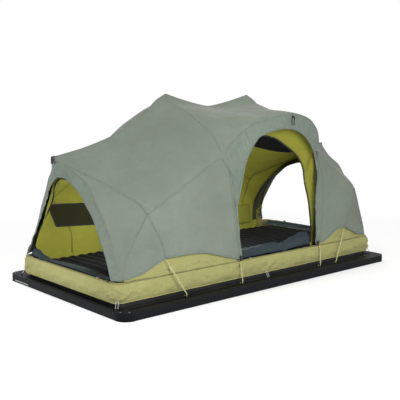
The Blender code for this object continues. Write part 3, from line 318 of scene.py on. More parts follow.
def smooth_path(points, steps):
    """Equal steps along the smooth curve through the points."""
    points = [Vector(p) for p in points]
    fine = []
    for i in range(len(points) - 1):
        before = points[i - 1] if i else 2 * points[0] - points[1]
        after = points[i + 2] if i + 2 < len(points) else 2 * points[-1] - points[-2]
        a, b = points[i], points[i + 1]
        for k in range(12):
            t = k / 12
            fine.append(
                0.5 * (
                    2 * a + (b - before) * t
                    + (2 * before - 5 * a + 4 * b - after) * t**2
                    + (3 * a - before - 3 * b + after) * t**3
                )
            )
    fine.append(points[-1])
    lengths = [0.0]
    for a, b in zip(fine, fine[1:]):
        lengths.append(lengths[-1] + (b - a).length)
    path = []
    k = 0
    for i in range(steps + 1):
        want = lengths[-1] * i / steps
        while k < len(fine) - 2 and lengths[k + 1] < want:
            k += 1
        t = (want - lengths[k]) / (lengths[k + 1] - lengths[k])
        path.append(fine[k].lerp(fine[k + 1], t))
    return path


def path_length(path):
    return sum((b - a).length for a, b in zip(path, path[1:]))


def outward(point):
    """The direction from the tent's middle line to a point of its cloth."""
    middle = Vector((CORE_SHARE * point.x, 0, TUB_TOP + CORE_HEIGHT))
    return (point - middle).normalized()


def sunk(point, depth):
    """The point moved by depth towards the tent's middle line."""
    point = Vector(point)
    return point - outward(point) * depth


def wall_y(z):
    """Half width of the fly's long side at a height."""
    return TUB_Y + HEM_OUTSET + WALL_FLARE * (z - TUB_TOP - FLARE_START)


def hoop_x(z):
    """Distance of a main hoop's plane from the middle at a height."""
    return PEAK_SPREAD + HOOP_LEAN * (PEAK_Z - z)


def side_point(offset, sx, sy):
    """A point given by its distance past the tub's end and side and its height."""
    return Vector((sx * (TUB_X + offset[0]), sy * (TUB_Y + offset[1]), TUB_TOP + offset[2]))


def end_point(row, sx, sy):
    """A point of an end arch, given by its share of the half width."""
    share, out, height = row
    return Vector((sx * (TUB_X + out), sy * share * TUB_Y, TUB_TOP + height))


def door_point(row):
    """A point of the door's edge or seams, on the flared near wall."""
    z = TUB_TOP + row[1]
    return Vector((DOOR_CENTRE + row[0], -wall_y(z), z))


def side_hem_point(x, height, sy):
    z = TUB_TOP + height
    return Vector((x, sy * wall_y(z), z))


def peak(sx):
    return Vector((sx * PEAK_SPREAD, 0, PEAK_Z))


def eave(sx, sy):
    return Vector((sx * hoop_x(EAVE_Z), sy * EAVE_Y, EAVE_Z))


def end_top(sx):
    return Vector((sx * (TUB_X + END_TOP[0]), 0, TUB_TOP + END_TOP[1]))


def door_foot(sx):
    """The foot of the sewn edge of the door's band."""
    rows = DOOR_SEAM_LEFT if sx < 0 else DOOR_SEAM_RIGHT
    return door_point(rows[-1])


def far_foot(sx):
    z = TUB_TOP + FAR_FOOT
    return Vector((sx * hoop_x(z), wall_y(z), z))


class Seams:
    """Every seam of the tent's cloth at one depth below the outer surface."""

    def __init__(self, depth, density):
        self.depth = depth
        self.density = density

    def path(self, points, steps):
        return smooth_path([sunk(p, self.depth) for p in points], steps * self.density)

    def side_path(self, rows, sx, sy, steps):
        return self.path([side_point(row, sx, sy) for row in rows], steps)

    def main_hoop(self, sx, sy):
        top, low = peak(sx), eave(sx, sy)
        points = []
        for across, down in HOOP_PROFILE:
            z = top.z + (low.z - top.z) * down
            points.append((sx * hoop_x(z), low.y * across, z))
        return self.path(points, HOOP_STEPS)

    def ridge(self, sx):
        top, end = peak(sx), end_top(sx)
        points = [
            (top.x + (end.x - top.x) * along, 0, top.z + (end.z - top.z) * down)
            for along, down in RIDGE_PROFILE
        ]
        return self.path(points, RIDGE_STEPS)

    def middle_ridge(self):
        points = []
        for i in range(-5, 6):
            dip = RIDGE_DIP * (1 - abs(i / 5) ** 1.3)
            points.append((i / 5 * PEAK_SPREAD, 0, PEAK_Z - dip))
        return self.path(points, HOOD_STEPS)

    def end_hoop(self, sx, sy):
        top, low = end_top(sx), side_point(SHOULDER, sx, sy)
        points = []
        for across, down in END_HOOP_PROFILE:
            x = top.x + (low.x - top.x) * (1 - (1 - across) ** END_HOOP_SWEEP)
            points.append((x, low.y * across, top.z + (low.z - top.z) * down))
        return self.path(points, HOOP_STEPS)

    def shoulder_leg(self, sx, sy):
        """From the shoulder down to the hem, over the end hoop's leg."""
        return self.side_path([SHOULDER, *SHOULDER_LEG, SEAM_FOOT], sx, sy, LEG_STEPS)

    def hip(self, sx, sy):
        return self.side_path([SHOULDER, *HIP_LINE, CORNER_FOOT], sx, sy, LEG_STEPS)

    def eave_line(self, sx, sy):
        return self.path([eave(sx, sy), side_point(SHOULDER, sx, sy)], RIDGE_STEPS)

    def band_edge(self, sx, sy):
        """Outer edge of an end arch's band, from its top to the corner."""
        rows = BAND_EDGE if sx < 0 else BAND_EDGE_RIGHT
        points = [end_top(sx), *(end_point(row, sx, sy) for row in rows)]
        points.append(side_point(CORNER_FOOT, sx, sy))
        return self.path(points, HOOP_STEPS + LEG_STEPS)

    def corner_hem(self, sx, sy):
        points = [side_point(SEAM_FOOT, sx, sy)]
        points += [side_hem_point(sx * (TUB_X + x), h, sy) for x, h in HEM_CORNER]
        points.append(side_point(CORNER_FOOT, sx, sy))
        return self.path(points, HEM_STEPS)

    def hood_ridge(self):
        y = -(TUB_Y + HOOD_OUTSET)
        middle = [(DOOR_CENTRE + x, y, TUB_TOP + h) for x, h in HOOD_RIDGE]
        return self.path([eave(-1, -1), *middle, eave(1, -1)], HOOD_STEPS)

    def door_seam(self, sx):
        """From an eave down to the foot of the door's band."""
        rows = DOOR_SEAM_LEFT if sx < 0 else DOOR_SEAM_RIGHT
        return self.path([eave(sx, -1), *map(door_point, rows)], LEG_STEPS)

    def door_edge(self):
        return self.path(list(map(door_point, DOOR_EDGE)), HOOD_STEPS + 2 * LEG_STEPS)

    def inner_door_edge(self):
        """The inner door's arch, which stands upright behind the hood."""
        points = [(DOOR_CENTRE + x, -INNER_DOOR_Y, TUB_TOP + h) for x, h in INNER_DOOR_EDGE]
        return smooth_path(points, (HOOD_STEPS + 2 * LEG_STEPS) * self.density)

    def far_leg(self, sx):
        """From a far eave down to the hem, over the main hoop's leg."""
        return self.path([eave(sx, 1), far_foot(sx)], LEG_STEPS)

    def near_hem(self, sx):
        rows = HEM_LEFT if sx < 0 else HEM_RIGHT
        points = [side_hem_point(x, h, -1) for x, h in rows]
        return self.path([side_point(SEAM_FOOT, sx, -1), *points, door_foot(sx)], RIDGE_STEPS)

    def far_hem(self):
        points = [side_hem_point(x, h, 1) for x, h in HEM_FAR]
        return self.path([far_foot(-1), *points, far_foot(1)], HOOD_STEPS)

    def far_side_hem(self, sx):
        return self.path([far_foot(sx), side_point(SEAM_FOOT, sx, 1)], RIDGE_STEPS)

    def end_arch(self, sx, sy):
        """One half of an end opening."""
        if self.depth == INNER_DEPTH:
            rows = INNER_END_OPENING if sx < 0 else INNER_END_OPENING_RIGHT
        else:
            rows = END_OPENING if sx < 0 else END_OPENING_RIGHT
        points = [end_point(row, sx, sy) for row in rows]
        return smooth_path(points, (HOOP_STEPS + LEG_STEPS) * self.density)


# Finishes


class NodeGraph:
    """Nodes that are added to a material or to the sky."""

    def __init__(self, tree):
        self.nodes = tree.nodes
        self.links = tree.links

    def join(self, source, target):
        """Links a socket to an input, or sets the input to a value."""
        if isinstance(source, bpy.types.NodeSocket):
            self.links.new(source, target)
        else:
            target.default_value = source

    def node(self, kind, inputs, output=0, **settings):
        """Adds a node with its inputs and settings, and returns one of its outputs."""
        node = self.nodes.new("ShaderNode" + kind)
        for name, value in settings.items():
            setattr(node, name, value)
        for name, source in inputs.items():
            self.join(source, node.inputs[name])
        return node.outputs[output]

    def ray(self, kind):
        """One where that kind of ray arrives: Camera, Glossy or Transmission."""
        return self.node("LightPath", {}, f"Is {kind} Ray")

    def calc(self, operation, first, second=0.0):
        return self.node("Math", {0: first, 1: second}, operation=operation)

    def ramp(self, value, low, high, start=0.0, end=1.0):
        spans = {"From Min": low, "From Max": high, "To Min": start, "To Max": end}
        return self.node("MapRange", {"Value": value, **spans}, "Result")


class Finish(NodeGraph):
    """One material and the nodes that it is built from."""

    def __init__(self, name, colour, roughness, metallic=0.0, sheen=0.0, specular=0.5):
        self.mat = bpy.data.materials.new(name)
        self.mat.use_nodes = True
        self.mat.diffuse_color = (*colour, 1)
        super().__init__(self.mat.node_tree)
        self.shader = self.nodes["Principled BSDF"]
        self.set("Base Color", (*colour, 1))
        self.set("Roughness", roughness)
        self.set("Metallic", metallic)
        self.set("Sheen Weight", sheen)
        self.set("Sheen Roughness", 0.4)
        self.set("Specular IOR Level", specular)

    def set(self, socket, source):
        self.join(source, self.shader.inputs[socket])

    def place(self, kind="Object", scale=(1, 1, 1), turn=(0, 0, 0)):
        """A place on the surface: Object, or UV in metres of the flat cut."""
        turn = [math.radians(t) for t in turn]
        coords = self.node("TexCoord", {}, kind)
        return self.node("Mapping", {"Vector": coords, "Scale": scale, "Rotation": turn})

    def noise(self, vector, scale, detail=3.0, roughness=0.55):
        inputs = {"Vector": vector, "Scale": scale, "Detail": detail, "Roughness": roughness}
        return self.node("TexNoise", inputs, "Fac")

    def grain(self, scale, detail=3.0, stretch=(1, 1, 1), kind="Object", roughness=0.55):
        """Noise over the surface, finer along the axes that are stretched."""
        return self.noise(self.place(kind, stretch), scale, detail, roughness)

    def threads(self, vector, pitch, direction):
        """Even rounded ribs, one every pitch."""
        inputs = {"Vector": vector, "Scale": math.pi / 10 / pitch}
        return self.node("TexWave", inputs, "Fac", bands_direction=direction)

    def blend(self, share, first, second):
        """A colour between two, each a socket or three numbers."""
        node = self.nodes.new("ShaderNodeMix")
        node.data_type = "RGBA"
        self.join(share, node.inputs["Factor"])
        for source, name in ((first, "A"), (second, "B")):
            target = next(s for s in node.inputs if s.name == name and s.type == "RGBA")
            linked = isinstance(source, bpy.types.NodeSocket)
            self.join(source if linked else (*source, 1), target)
        return next(s for s in node.outputs if s.type == "RGBA")

    def tone(self, value, low, high, first, second, most=1.0):
        """A colour that turns from the first to the second as a value rises from low to high."""
        return self.blend(self.ramp(value, low, high, 0.0, most), first, second)

    def vary_roughness(self, value, low, high):
        self.set("Roughness", self.ramp(value, 0.3, 0.7, low, high))

    def bump(self, *layers):
        """Adds relief: each layer is a height socket, its strength and its depth in metres."""
        normal = self.shader.inputs["Normal"]
        below = {"Normal": normal.links[0].from_socket} if normal.links else {}
        for height, strength, depth in layers:
            inputs = {"Height": height, "Strength": strength, "Distance": depth, **below}
            below = {"Normal": self.node("Bump", inputs)}
        self.join(below["Normal"], normal)

    def stitches(self, vector, rows, pitch):
        """A mask of dashes along U at each row of V."""
        u, v = (self.node("SeparateXYZ", {"Vector": vector}, axis) for axis in "XY")
        along = self.calc("FRACT", self.calc("DIVIDE", u, pitch))
        dash = self.calc("LESS_THAN", along, STITCH_SHARE)
        found = 0.0
        for row in rows:
            near = self.calc("ABSOLUTE", self.calc("SUBTRACT", v, row))
            found = self.calc("MAXIMUM", found, self.calc("LESS_THAN", near, STITCH_WIDTH / 2))
        return self.calc("MULTIPLY", dash, found)


def tinted(colour, factor):
    return tuple(min(1.0, c * factor) for c in colour)


def woven(name, colour, sheen=0.10, crinkle=0.4, fade=0.12, folds=7.0):
    """Coated or plain cloth: crossing threads, soft handling creases and uneven fading."""
    roughness = 0.80
    finish = Finish(name, colour, roughness, sheen=sheen, specular=0.25)
    flat = finish.place("UV")
    warp = finish.threads(flat, WEAVE_PITCH, "X")
    weft = finish.threads(flat, WEAVE_PITCH * 0.92, "Y")
    weave = finish.calc("MULTIPLY", warp, weft)
    cloud, mottle = finish.grain(2.3, 4.0), finish.grain(26.0)
    slub = finish.grain(1.0, 2.0, (8, 420, 1), "UV")
    base = finish.tone(cloud, 0.34, 0.66, tinted(colour, 1 - fade), tinted(colour, 1 + fade))
    base = finish.tone(mottle, 0.35, 0.75, base, tinted(colour, 0.86), 0.28)
    base = finish.blend(finish.ramp(weave, 0.0, 1.0, 0.16, 0.0), base, tinted(colour, 0.55))
    finish.set("Base Color", base)
    finish.vary_roughness(mottle, roughness - 0.06, roughness + 0.08)
    slant = finish.place("Object", (1, 1, 1.6), (0, 24, 12))
    finish.bump(
        (finish.noise(slant, folds, 4.0, 0.5), crinkle, 0.16 / folds),
        (finish.grain(55.0), crinkle * 0.5, 0.0016),
        (slub, 0.25, 0.0004),
        (weave, 0.35, 0.0003),
    )
    return finish


def puckered(name, colour):
    """Cloth gathered along a bound edge: fine ribs across the band over the plain weave."""
    finish = woven(name, colour, crinkle=0.7)
    fine = finish.grain(1.0, 2.0, (54, 12, 1), "UV")
    broad = finish.grain(1.0, 3.0, (24, 7, 1), "UV")
    finish.bump((fine, 1.0, 0.006), (broad, 1.0, 0.016))
    return finish


def sewn_tape(name, colour, thread, rows, rib=0.0011):
    """Ribbed tape with rows of stitches along it."""
    finish = Finish(name, colour, 0.72, sheen=0.08, specular=0.3)
    flat = finish.place("UV")
    ribs = finish.threads(flat, rib, "X")
    stitch = finish.stitches(flat, rows, STITCH_PITCH)
    worn = finish.grain(34.0)
    base = finish.tone(worn, 0.3, 0.7, tinted(colour, 0.88), tinted(colour, 1.12))
    finish.set("Base Color", finish.blend(stitch, base, thread))
    pucker = finish.grain(1.0, 2.0, (160, 30, 1), "UV")
    finish.bump((pucker, 0.5, 0.0015), (ribs, 0.3, 0.0003), (stitch, 0.6, 0.0006))
    return finish


def netting(name, colour):
    """Fine insect net: a square lattice with dark openings."""
    finish = Finish(name, colour, 0.85, specular=0.15)
    flat = finish.place("UV")
    lattice = finish.calc("MAXIMUM", *(finish.threads(flat, NET_PITCH, axis) for axis in "XY"))
    strand = finish.ramp(lattice, 0.55, 0.95)
    sag = finish.grain(5.0)
    base = finish.blend(strand, tinted(colour, 0.45), tinted(colour, 1.5))
    finish.set("Base Color", finish.tone(sag, 0.35, 0.7, base, tinted(colour, 1.9), 0.5))
    finish.bump((sag, 0.4, 0.010), (strand, 0.5, 0.0005))
    return finish


def powder_coat(name, colour, roughness=0.42):
    """Black powder coat over aluminium: fine orange peel, dust, and a painted highlight that
    lightens its sharp edges.
    """
    finish = Finish(name, colour, roughness, specular=0.05)
    dust = finish.grain(7.0, 6.0, (1, 1, 3), roughness=0.65)
    wipe = finish.grain(1.6, 4.0, (1.4, 26, 26))
    base = finish.tone(dust, 0.45, 0.78, colour, tinted(colour, 1.7), 0.4)
    # Painted highlight: sharp edges (high pointiness) turn a lighter grey
    edge = finish.node("NewGeometry", {}, "Pointiness")
    finish.set("Base Color", finish.tone(edge, 0.55, 0.66, base, (0.07, 0.073, 0.08), 0.16))
    finish.vary_roughness(wipe, roughness - 0.08, roughness + 0.14)
    finish.bump((finish.grain(900.0, 1.0), 0.20, 0.0004), (finish.grain(420.0, 2.0), 0.18, 0.0006))
    return finish


def anodised(name, colour):
    """Drawn aluminium tube, scuffed by its sleeves."""
    finish = Finish(name, colour, 0.36, metallic=0.7)
    draw, scuff = finish.grain(3.0, 3.0, (60, 60, 3)), finish.grain(38.0, 4.0)
    finish.set("Base Color", finish.tone(scuff, 0.5, 0.75, colour, tinted(colour, 2.6)))
    finish.vary_roughness(draw, 0.28, 0.46)
    finish.bump((draw, 0.15, 0.0005))
    return finish


def bare_steel(name, colour):
    """Plated steel with fine scratches and a little tarnish."""
    finish = Finish(name, colour, 0.27, metallic=1.0)
    scratch, tarnish = finish.grain(4.0, 3.0, (40, 260, 40)), finish.grain(90.0, 4.0)
    finish.set("Base Color", finish.tone(tarnish, 0.42, 0.75, colour, tinted(colour, 0.55)))
    finish.vary_roughness(scratch, 0.18, 0.42)
    finish.bump((scratch, 0.2, 0.0003))
    return finish


def sealed_board(name, colour):
    """Dark sealed board with its grain and some dust."""
    finish = Finish(name, colour, 0.55, specular=0.4)
    grain = finish.grain(3.0, 5.0, (1.2, 34, 34), roughness=0.6)
    cells = {"Vector": finish.place("Object"), "Scale": 240.0}
    pit = finish.node("TexVoronoi", cells, "Distance")
    dust = finish.grain(6.0, 5.0)
    base = finish.tone(grain, 0.3, 0.7, tinted(colour, 0.7), tinted(colour, 1.5))
    finish.set("Base Color", finish.tone(dust, 0.5, 0.8, base, (0.05, 0.05, 0.048), 0.4))
    finish.vary_roughness(grain, 0.46, 0.66)
    finish.bump((grain, 0.35, 0.0008), (pit, 0.15, 0.0004))
    return finish


def quilted(name, colour):
    """Brushed black mattress cover."""
    finish = Finish(name, colour, 0.85, sheen=0.03, specular=0.08)
    nap, lint = finish.grain(260.0), finish.grain(40.0, 4.0)
    rub = finish.grain(5.0, 4.0, (1, 2.4, 1))
    base = finish.tone(rub, 0.35, 0.7, tinted(colour, 0.7), tinted(colour, 1.7))
    finish.set("Base Color", finish.tone(lint, 0.55, 0.8, base, tinted(colour, 3.0), 0.4))
    finish.bump((rub, 0.4, 0.006), (lint, 0.3, 0.0015), (nap, 0.4, 0.0006))
    return finish


def braided(name, colour):
    """Pale cord with a darker tracer, plaited round its line."""
    finish = Finish(name, colour, 0.70, sheen=0.15, specular=0.3)
    slants = [finish.place("UV", turn=(0, 0, angle)) for angle in (38, -38)]
    plait = finish.calc("MAXIMUM", *(finish.threads(slant, 0.0022, "X") for slant in slants))
    fleck = finish.grain(1.0, 2.0, (90, 500, 1), "UV")
    base = finish.tone(plait, 0.5, 1.0, tinted(colour, 0.6), tinted(colour, 1.08))
    finish.set("Base Color", finish.tone(fleck, 0.55, 0.7, base, tinted(colour, 0.4), 0.5))
    finish.bump((plait, 0.7, 0.0005))
    return finish


def coil_zip(name, colour):
    """Zip tape with its coil down the middle."""
    finish = Finish(name, colour, 0.6, specular=0.4)
    solid = finish.place("Object")
    teeth = finish.calc("MULTIPLY", *(finish.threads(solid, 0.0026, axis) for axis in "XY"))
    dust = finish.grain(30.0, 4.0)
    finish.set("Base Color", finish.tone(dust, 0.4, 0.75, colour, tinted(colour, 2.6)))
    finish.vary_roughness(dust, 0.45, 0.75)
    finish.bump((teeth, 0.8, 0.0009))
    return finish


def moulded(name, colour, roughness=0.5):
    """Moulded plastic with a fine spark texture."""
    finish = Finish(name, colour, roughness)
    spark, scuff = finish.grain(700.0, 2.0), finish.grain(60.0, 4.0)
    finish.set("Base Color", finish.tone(scuff, 0.5, 0.75, colour, tinted(colour, 1.7)))
    finish.vary_roughness(scuff, roughness - 0.1, roughness + 0.15)
    finish.bump((spark, 0.25, 0.0004))
    return finish


def finish_of(name, maker, *args, **kwargs):
    """The material of that name, made on first use."""
    return bpy.data.materials.get(name) or maker(name, *args, **kwargs).mat


# Sheets, straps and tubes


def grid_sheet(bm, grid, width, height, origin=(0.0, 0.0), mat_index=0):
    """Joins rows of points into a sheet, with its flat cut in metres as UV."""
    uv = bm.loops.layers.uv.verify()
    down, across = len(grid) - 1, len(grid[0]) - 1
    verts = [[bm.verts.new(p) for p in row] for row in grid]
    for j in range(down):
        for i in range(across):
            corners = ((j, i), (j, i + 1), (j + 1, i + 1), (j + 1, i))
            face = bm.faces.new([verts[r][c] for r, c in corners])
            face.material_index = mat_index
            for loop, (r, c) in zip(face.loops, corners):
                place = (origin[0] + width * c / across, origin[1] + height * r / down)
                loop[uv].uv = place
    return verts


def grid_of(down, across, place):
    """Rows of points: place gives the point for a row and a column."""
    return [[place(j, i) for i in range(across + 1)] for j in range(down + 1)]


def creases(height, pitch, stretch=(1, 1, 1), seed=0.0):
    """Soft creases of about that height and width, as a rise for each place."""
    shift = Vector((seed, 2.7 * seed, -1.3 * seed))
    scale = Vector(stretch)

    def rise(point):
        place = point * scale / pitch + shift
        return height * (noise.noise(place) + 0.45 * noise.noise(place * 2.3))

    return rise


def ease(distance, reach):
    share = max(0.0, min(1.0, distance / reach))
    return share * share * (3 - 2 * share)


def add_patch(
    bm, top, bottom, left, right, sag=1.0, drop=0.0, slack=0.0, relief=None, held="tblr",
    mat_index=0,
):
    """Fills four seams with cloth: top and bottom run the same way, as do left and right.

    Slack sinks the middle, relief adds creases, and held names the sewn edges that stay put.
    """
    across, down = len(top) - 1, len(left) - 1

    def place(j, i):
        u, v = i / across, j / down
        ruled = top[i].lerp(bottom[i], v)
        bow_left = left[j] - left[0].lerp(left[-1], v)
        bow_right = right[j] - right[0].lerp(right[-1], v)
        point = ruled + bow_left * (1 - u) ** sag + bow_right * u**sag
        point.z -= drop * math.sin(math.pi * u) * math.sin(math.pi * v)
        return point

    rows = grid_of(down, across, place)
    width = (path_length(top) + path_length(bottom)) / 2
    height = (path_length(left) + path_length(right)) / 2
    height = max(height, (top[across // 2] - bottom[across // 2]).length)
    if slack or relief:
        rows = relieved(rows, width, height, slack, relief, held)
    grid_sheet(bm, rows, width, height, (top[0].x, top[0].z), mat_index)


def relieved(rows, width, height, slack, relief, held):
    """The rows moved along their normals by the slack and the relief."""
    down, across = len(rows) - 1, len(rows[0]) - 1

    def place(j, i):
        u, v = i / across, j / down
        point = rows[j][i]
        du = rows[j][min(i + 1, across)] - rows[j][max(i - 1, 0)]
        dv = rows[min(j + 1, down)][i] - rows[max(j - 1, 0)][i]
        out = outward(point)
        normal = du.cross(dv)
        normal = normal.normalized() if normal.length > 1e-9 else out
        if normal.dot(out) < 0:
            normal.negate()
        gaps = {"l": u * width, "r": (1 - u) * width, "t": v * height, "b": (1 - v) * height}
        hold = math.prod(ease(gaps[side], HELD_REACH) for side in held)
        rise = -slack * math.sin(math.pi * u) * math.sin(math.pi * v)
        if relief:
            rise += hold * relief(point)
        return point + normal * rise

    return grid_of(down, across, place)


def add_strip(bm, top, bottom, steps, **options):
    """Cloth straight across from one seam to another."""
    left, right = (rung(top[end], bottom[end], steps) for end in (0, -1))
    add_patch(bm, top, bottom, left, right, **options)


def rung(start, end, steps):
    return [start.lerp(end, k / steps) for k in range(steps + 1)]


def weld(bm):
    bmesh.ops.remove_doubles(bm, verts=bm.verts, dist=WELD_GAP)
    bmesh.ops.dissolve_degenerate(bm, edges=bm.edges, dist=WELD_GAP)
    bmesh.ops.recalc_face_normals(bm, faces=bm.faces)


def surface_of(bm):
    bm.normal_update()
    return BVHTree.FromBMesh(bm)


def on_surface(surface, point, lift, facing=None):
    """The nearest point of a surface, raised by lift on the side that faces outwards."""
    place, normal, _, _ = surface.find_nearest(point)
    facing = facing or outward(place)
    if normal.dot(facing) < 0:
        normal = -normal
    return place + normal * lift, normal


def lay_strip(bm, path, surface, width, lift, edge=False, steps=4):
    """A strip of tape along a path, laid on the surface; an edge strip lies on one side only."""
    count = len(path) - 1
    rows = []
    for i, point in enumerate(path):
        along = (path[min(i + 1, count)] - path[max(i - 1, 0)]).normalized()
        _, normal = on_surface(surface, point, 0)
        side = along.cross(normal).normalized()
        start, end = -0.5, 0.5
        if edge:
            probe, _ = on_surface(surface, point + side * EDGE_PROBE, 0)
            inward = (probe - point).dot(side) > EDGE_PROBE / 2
            start, end = (-EDGE_OVERLAP, 1.0) if inward else (-1.0, EDGE_OVERLAP)
        row = []
        for k in range(steps + 1):
            share = start + (end - start) * k / steps
            place, _ = on_surface(surface, point + side * share * width, lift)
            row.append(place)
        rows.append(row)
    grid = [[row[k] for row in rows] for k in range(steps + 1)]
    grid_sheet(bm, grid, path_length(path), width)


def skin(bm, rings, flat, closed=False):
    """Joins rings of vertices; flat gives the UV of a ring and a step round it."""
    uv = bm.loops.layers.uv.verify()
    count, sides = len(rings), len(rings[0])
    for a in range(count if closed else count - 1):
        b = (a + 1) % count
        for k in range(sides):
            n = (k + 1) % sides
            face = bm.faces.new((rings[a][k], rings[a][n], rings[b][n], rings[b][k]))
            spots = ((a, k), (a, k + 1), (a + 1, k + 1), (a + 1, k))
            for loop, spot in zip(face.loops, spots):
                loop[uv].uv = flat(*spot)
    if not closed:
        bm.faces.new(rings[0])
        bm.faces.new(rings[-1])


def tube(bm, path, radius, sides=8, closed=False):
    """A round cord or piping along the path, with its length and girth in metres as UV."""
    count = len(path)
    rings, places, normal, run = [], [], None, 0.0
    for i, point in enumerate(path):
        if closed:
            along = (path[(i + 1) % count] - path[i - 1]).normalized()
        else:
            along = (path[min(i + 1, count - 1)] - path[max(i - 1, 0)]).normalized()
        normal = along.orthogonal() if normal is None else normal
        normal = (normal - along * normal.dot(along)).normalized()
        side = along.cross(normal)
        ring = []
        for k in range(sides):
            angle = 2 * math.pi * k / sides
            arm = math.cos(angle) * normal + math.sin(angle) * side
            ring.append(bm.verts.new(point + radius * arm))
        if i:
            run += (point - path[i - 1]).length
        rings.append(ring)
        places.append(run)
    places.append(run + (path[0] - path[-1]).length)
    girth = 2 * math.pi * radius
    skin(bm, rings, lambda a, k: (places[a], girth * k / sides), closed)


def add_box(bm, size, matrix, bevel=0.0, segments=3):
    """A box, with its edges rounded where a bevel is given."""
    whole = matrix @ Matrix.Diagonal((*size, 1))
    made = bmesh.ops.create_cube(bm, size=1, matrix=whole)["verts"]
    if bevel:
        edges = [edge for edge in bm.edges if edge.verts[0] in made]
        bmesh.ops.bevel(
            bm, geom=edges, offset=bevel, segments=segments, affect="EDGES", profile=0.5,
            material=-1,
        )


def sink(obj, foot):
    """Gives the piece its own copy of its mesh. The foot is not used."""
    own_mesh(obj)


def as_piece(name, bm, mat, body="base", angle=40, thickness=0.0, offset=0.0, folds=False):
    """Makes the mesh a piece of the tent on its body; a piece that folds gets its own copy of its
    mesh.
    """
    bmesh.ops.recalc_face_normals(bm, faces=bm.faces)
    mesh = bpy.data.meshes.new(name)
    bm.to_mesh(mesh)
    bm.free()
    mesh.materials.append(mat)
    obj = bpy.data.objects.new(name, mesh)
    bpy.context.scene.collection.objects.link(obj)
    mesh.shade_smooth()
    mesh.set_sharp_from_angle(angle=math.radians(angle))
    if thickness:
        wall = obj.modifiers.new("thickness", "SOLIDIFY")
        wall.thickness = thickness
        wall.offset = offset
        wall.use_even_offset = False
    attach(obj, body)
    if folds:
        sink(obj, HINGE_Z)
    return obj


def paint(names, mat):
    """Gives CAD nodes their finish."""
    for name in names:
        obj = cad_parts[name]
        if not obj.material_slots:
            obj.data.materials.append(mat)
        for slot in obj.material_slots:
            slot.material = mat


# Settings


def colour_property(name, description, default):
    return FloatVectorProperty(
        name=name, description=description, default=default, subtype="COLOR", size=3, min=0, max=1
    )


def length_property(name, description, default, **limits):
    return FloatProperty(
        name=name, description=description, default=default, unit="LENGTH", **limits
    )


class TentCloth(bpy.types.PropertyGroup):
    """Colours of the cloth and how much it is creased."""

    fly: colour_property("Fly", "Colour of the outer cloth", (0.216, 0.250, 0.204))
    band: colour_property("Bands", "Colour of the bands round the doors", (0.206, 0.250, 0.208))
    inner: colour_property("Inner tent", "Colour of the inner tent", (0.300, 0.300, 0.036))
    tub: colour_property("Tub", "Colour of the padded wall", (0.395, 0.385, 0.150))
    slate: colour_property("Door flaps", "Colour of the lowered doors", (0.033, 0.049, 0.058))
    quilt: colour_property("Mattress", "Colour of the mattress cover", (0.0034, 0.0038, 0.0048))
    net: colour_property("Wall net", "Colour of the net in the walls", (0.022, 0.022, 0.008))
    roof_net: colour_property("Roof net", "Colour of the net in the roof", (0.006, 0.007, 0.008))
    jamb: colour_property("Jamb net", "Net beside the right door", (0.058, 0.062, 0.026))
    cord: colour_property("Guy lines", "Colour of the cords", (0.680, 0.670, 0.350))
    tape: colour_property("Tape", "Colour of webbing and zips", (0.011, 0.011, 0.012))
    crease: length_property(
        "Creases", "Height of the creases in the fly", 0.0030, min=0, max=0.01
    )
    density: IntProperty(
        name="Density", description="Divisions between two seams", default=6, min=2, max=8
    )


class TentPlatform(bpy.types.PropertyGroup):
    """Colours and small sizes of the platform."""

    metal: colour_property("Rails", "Colour of the powder coat", (0.0030, 0.0033, 0.0040))
    board: colour_property("Deck", "Colour of the deck and base board", (0.012, 0.012, 0.0125))
    strip: colour_property("Strip", "Colour of the plain strip on the end rail", (0.30, 0.31, 0.31))
    bolt_radius: length_property("Bolt", "Radius of the bolt heads", 0.0058)


class TentTub(bpy.types.PropertyGroup):
    """Padded wall and mattress."""

    puff: length_property("Puff", "Height of the soft dents in the wall", 0.0068)
    piping: length_property("Piping", "Radius of the piping", 0.0026)
    channel_pitch: length_property("Channel pitch", "Distance between sewn channels", 0.066)
    channel_depth: length_property("Channel depth", "Depth of the sewn channels", 0.010)


def cloth():
    return bpy.context.scene.tent_cloth


# Camera, light and floor


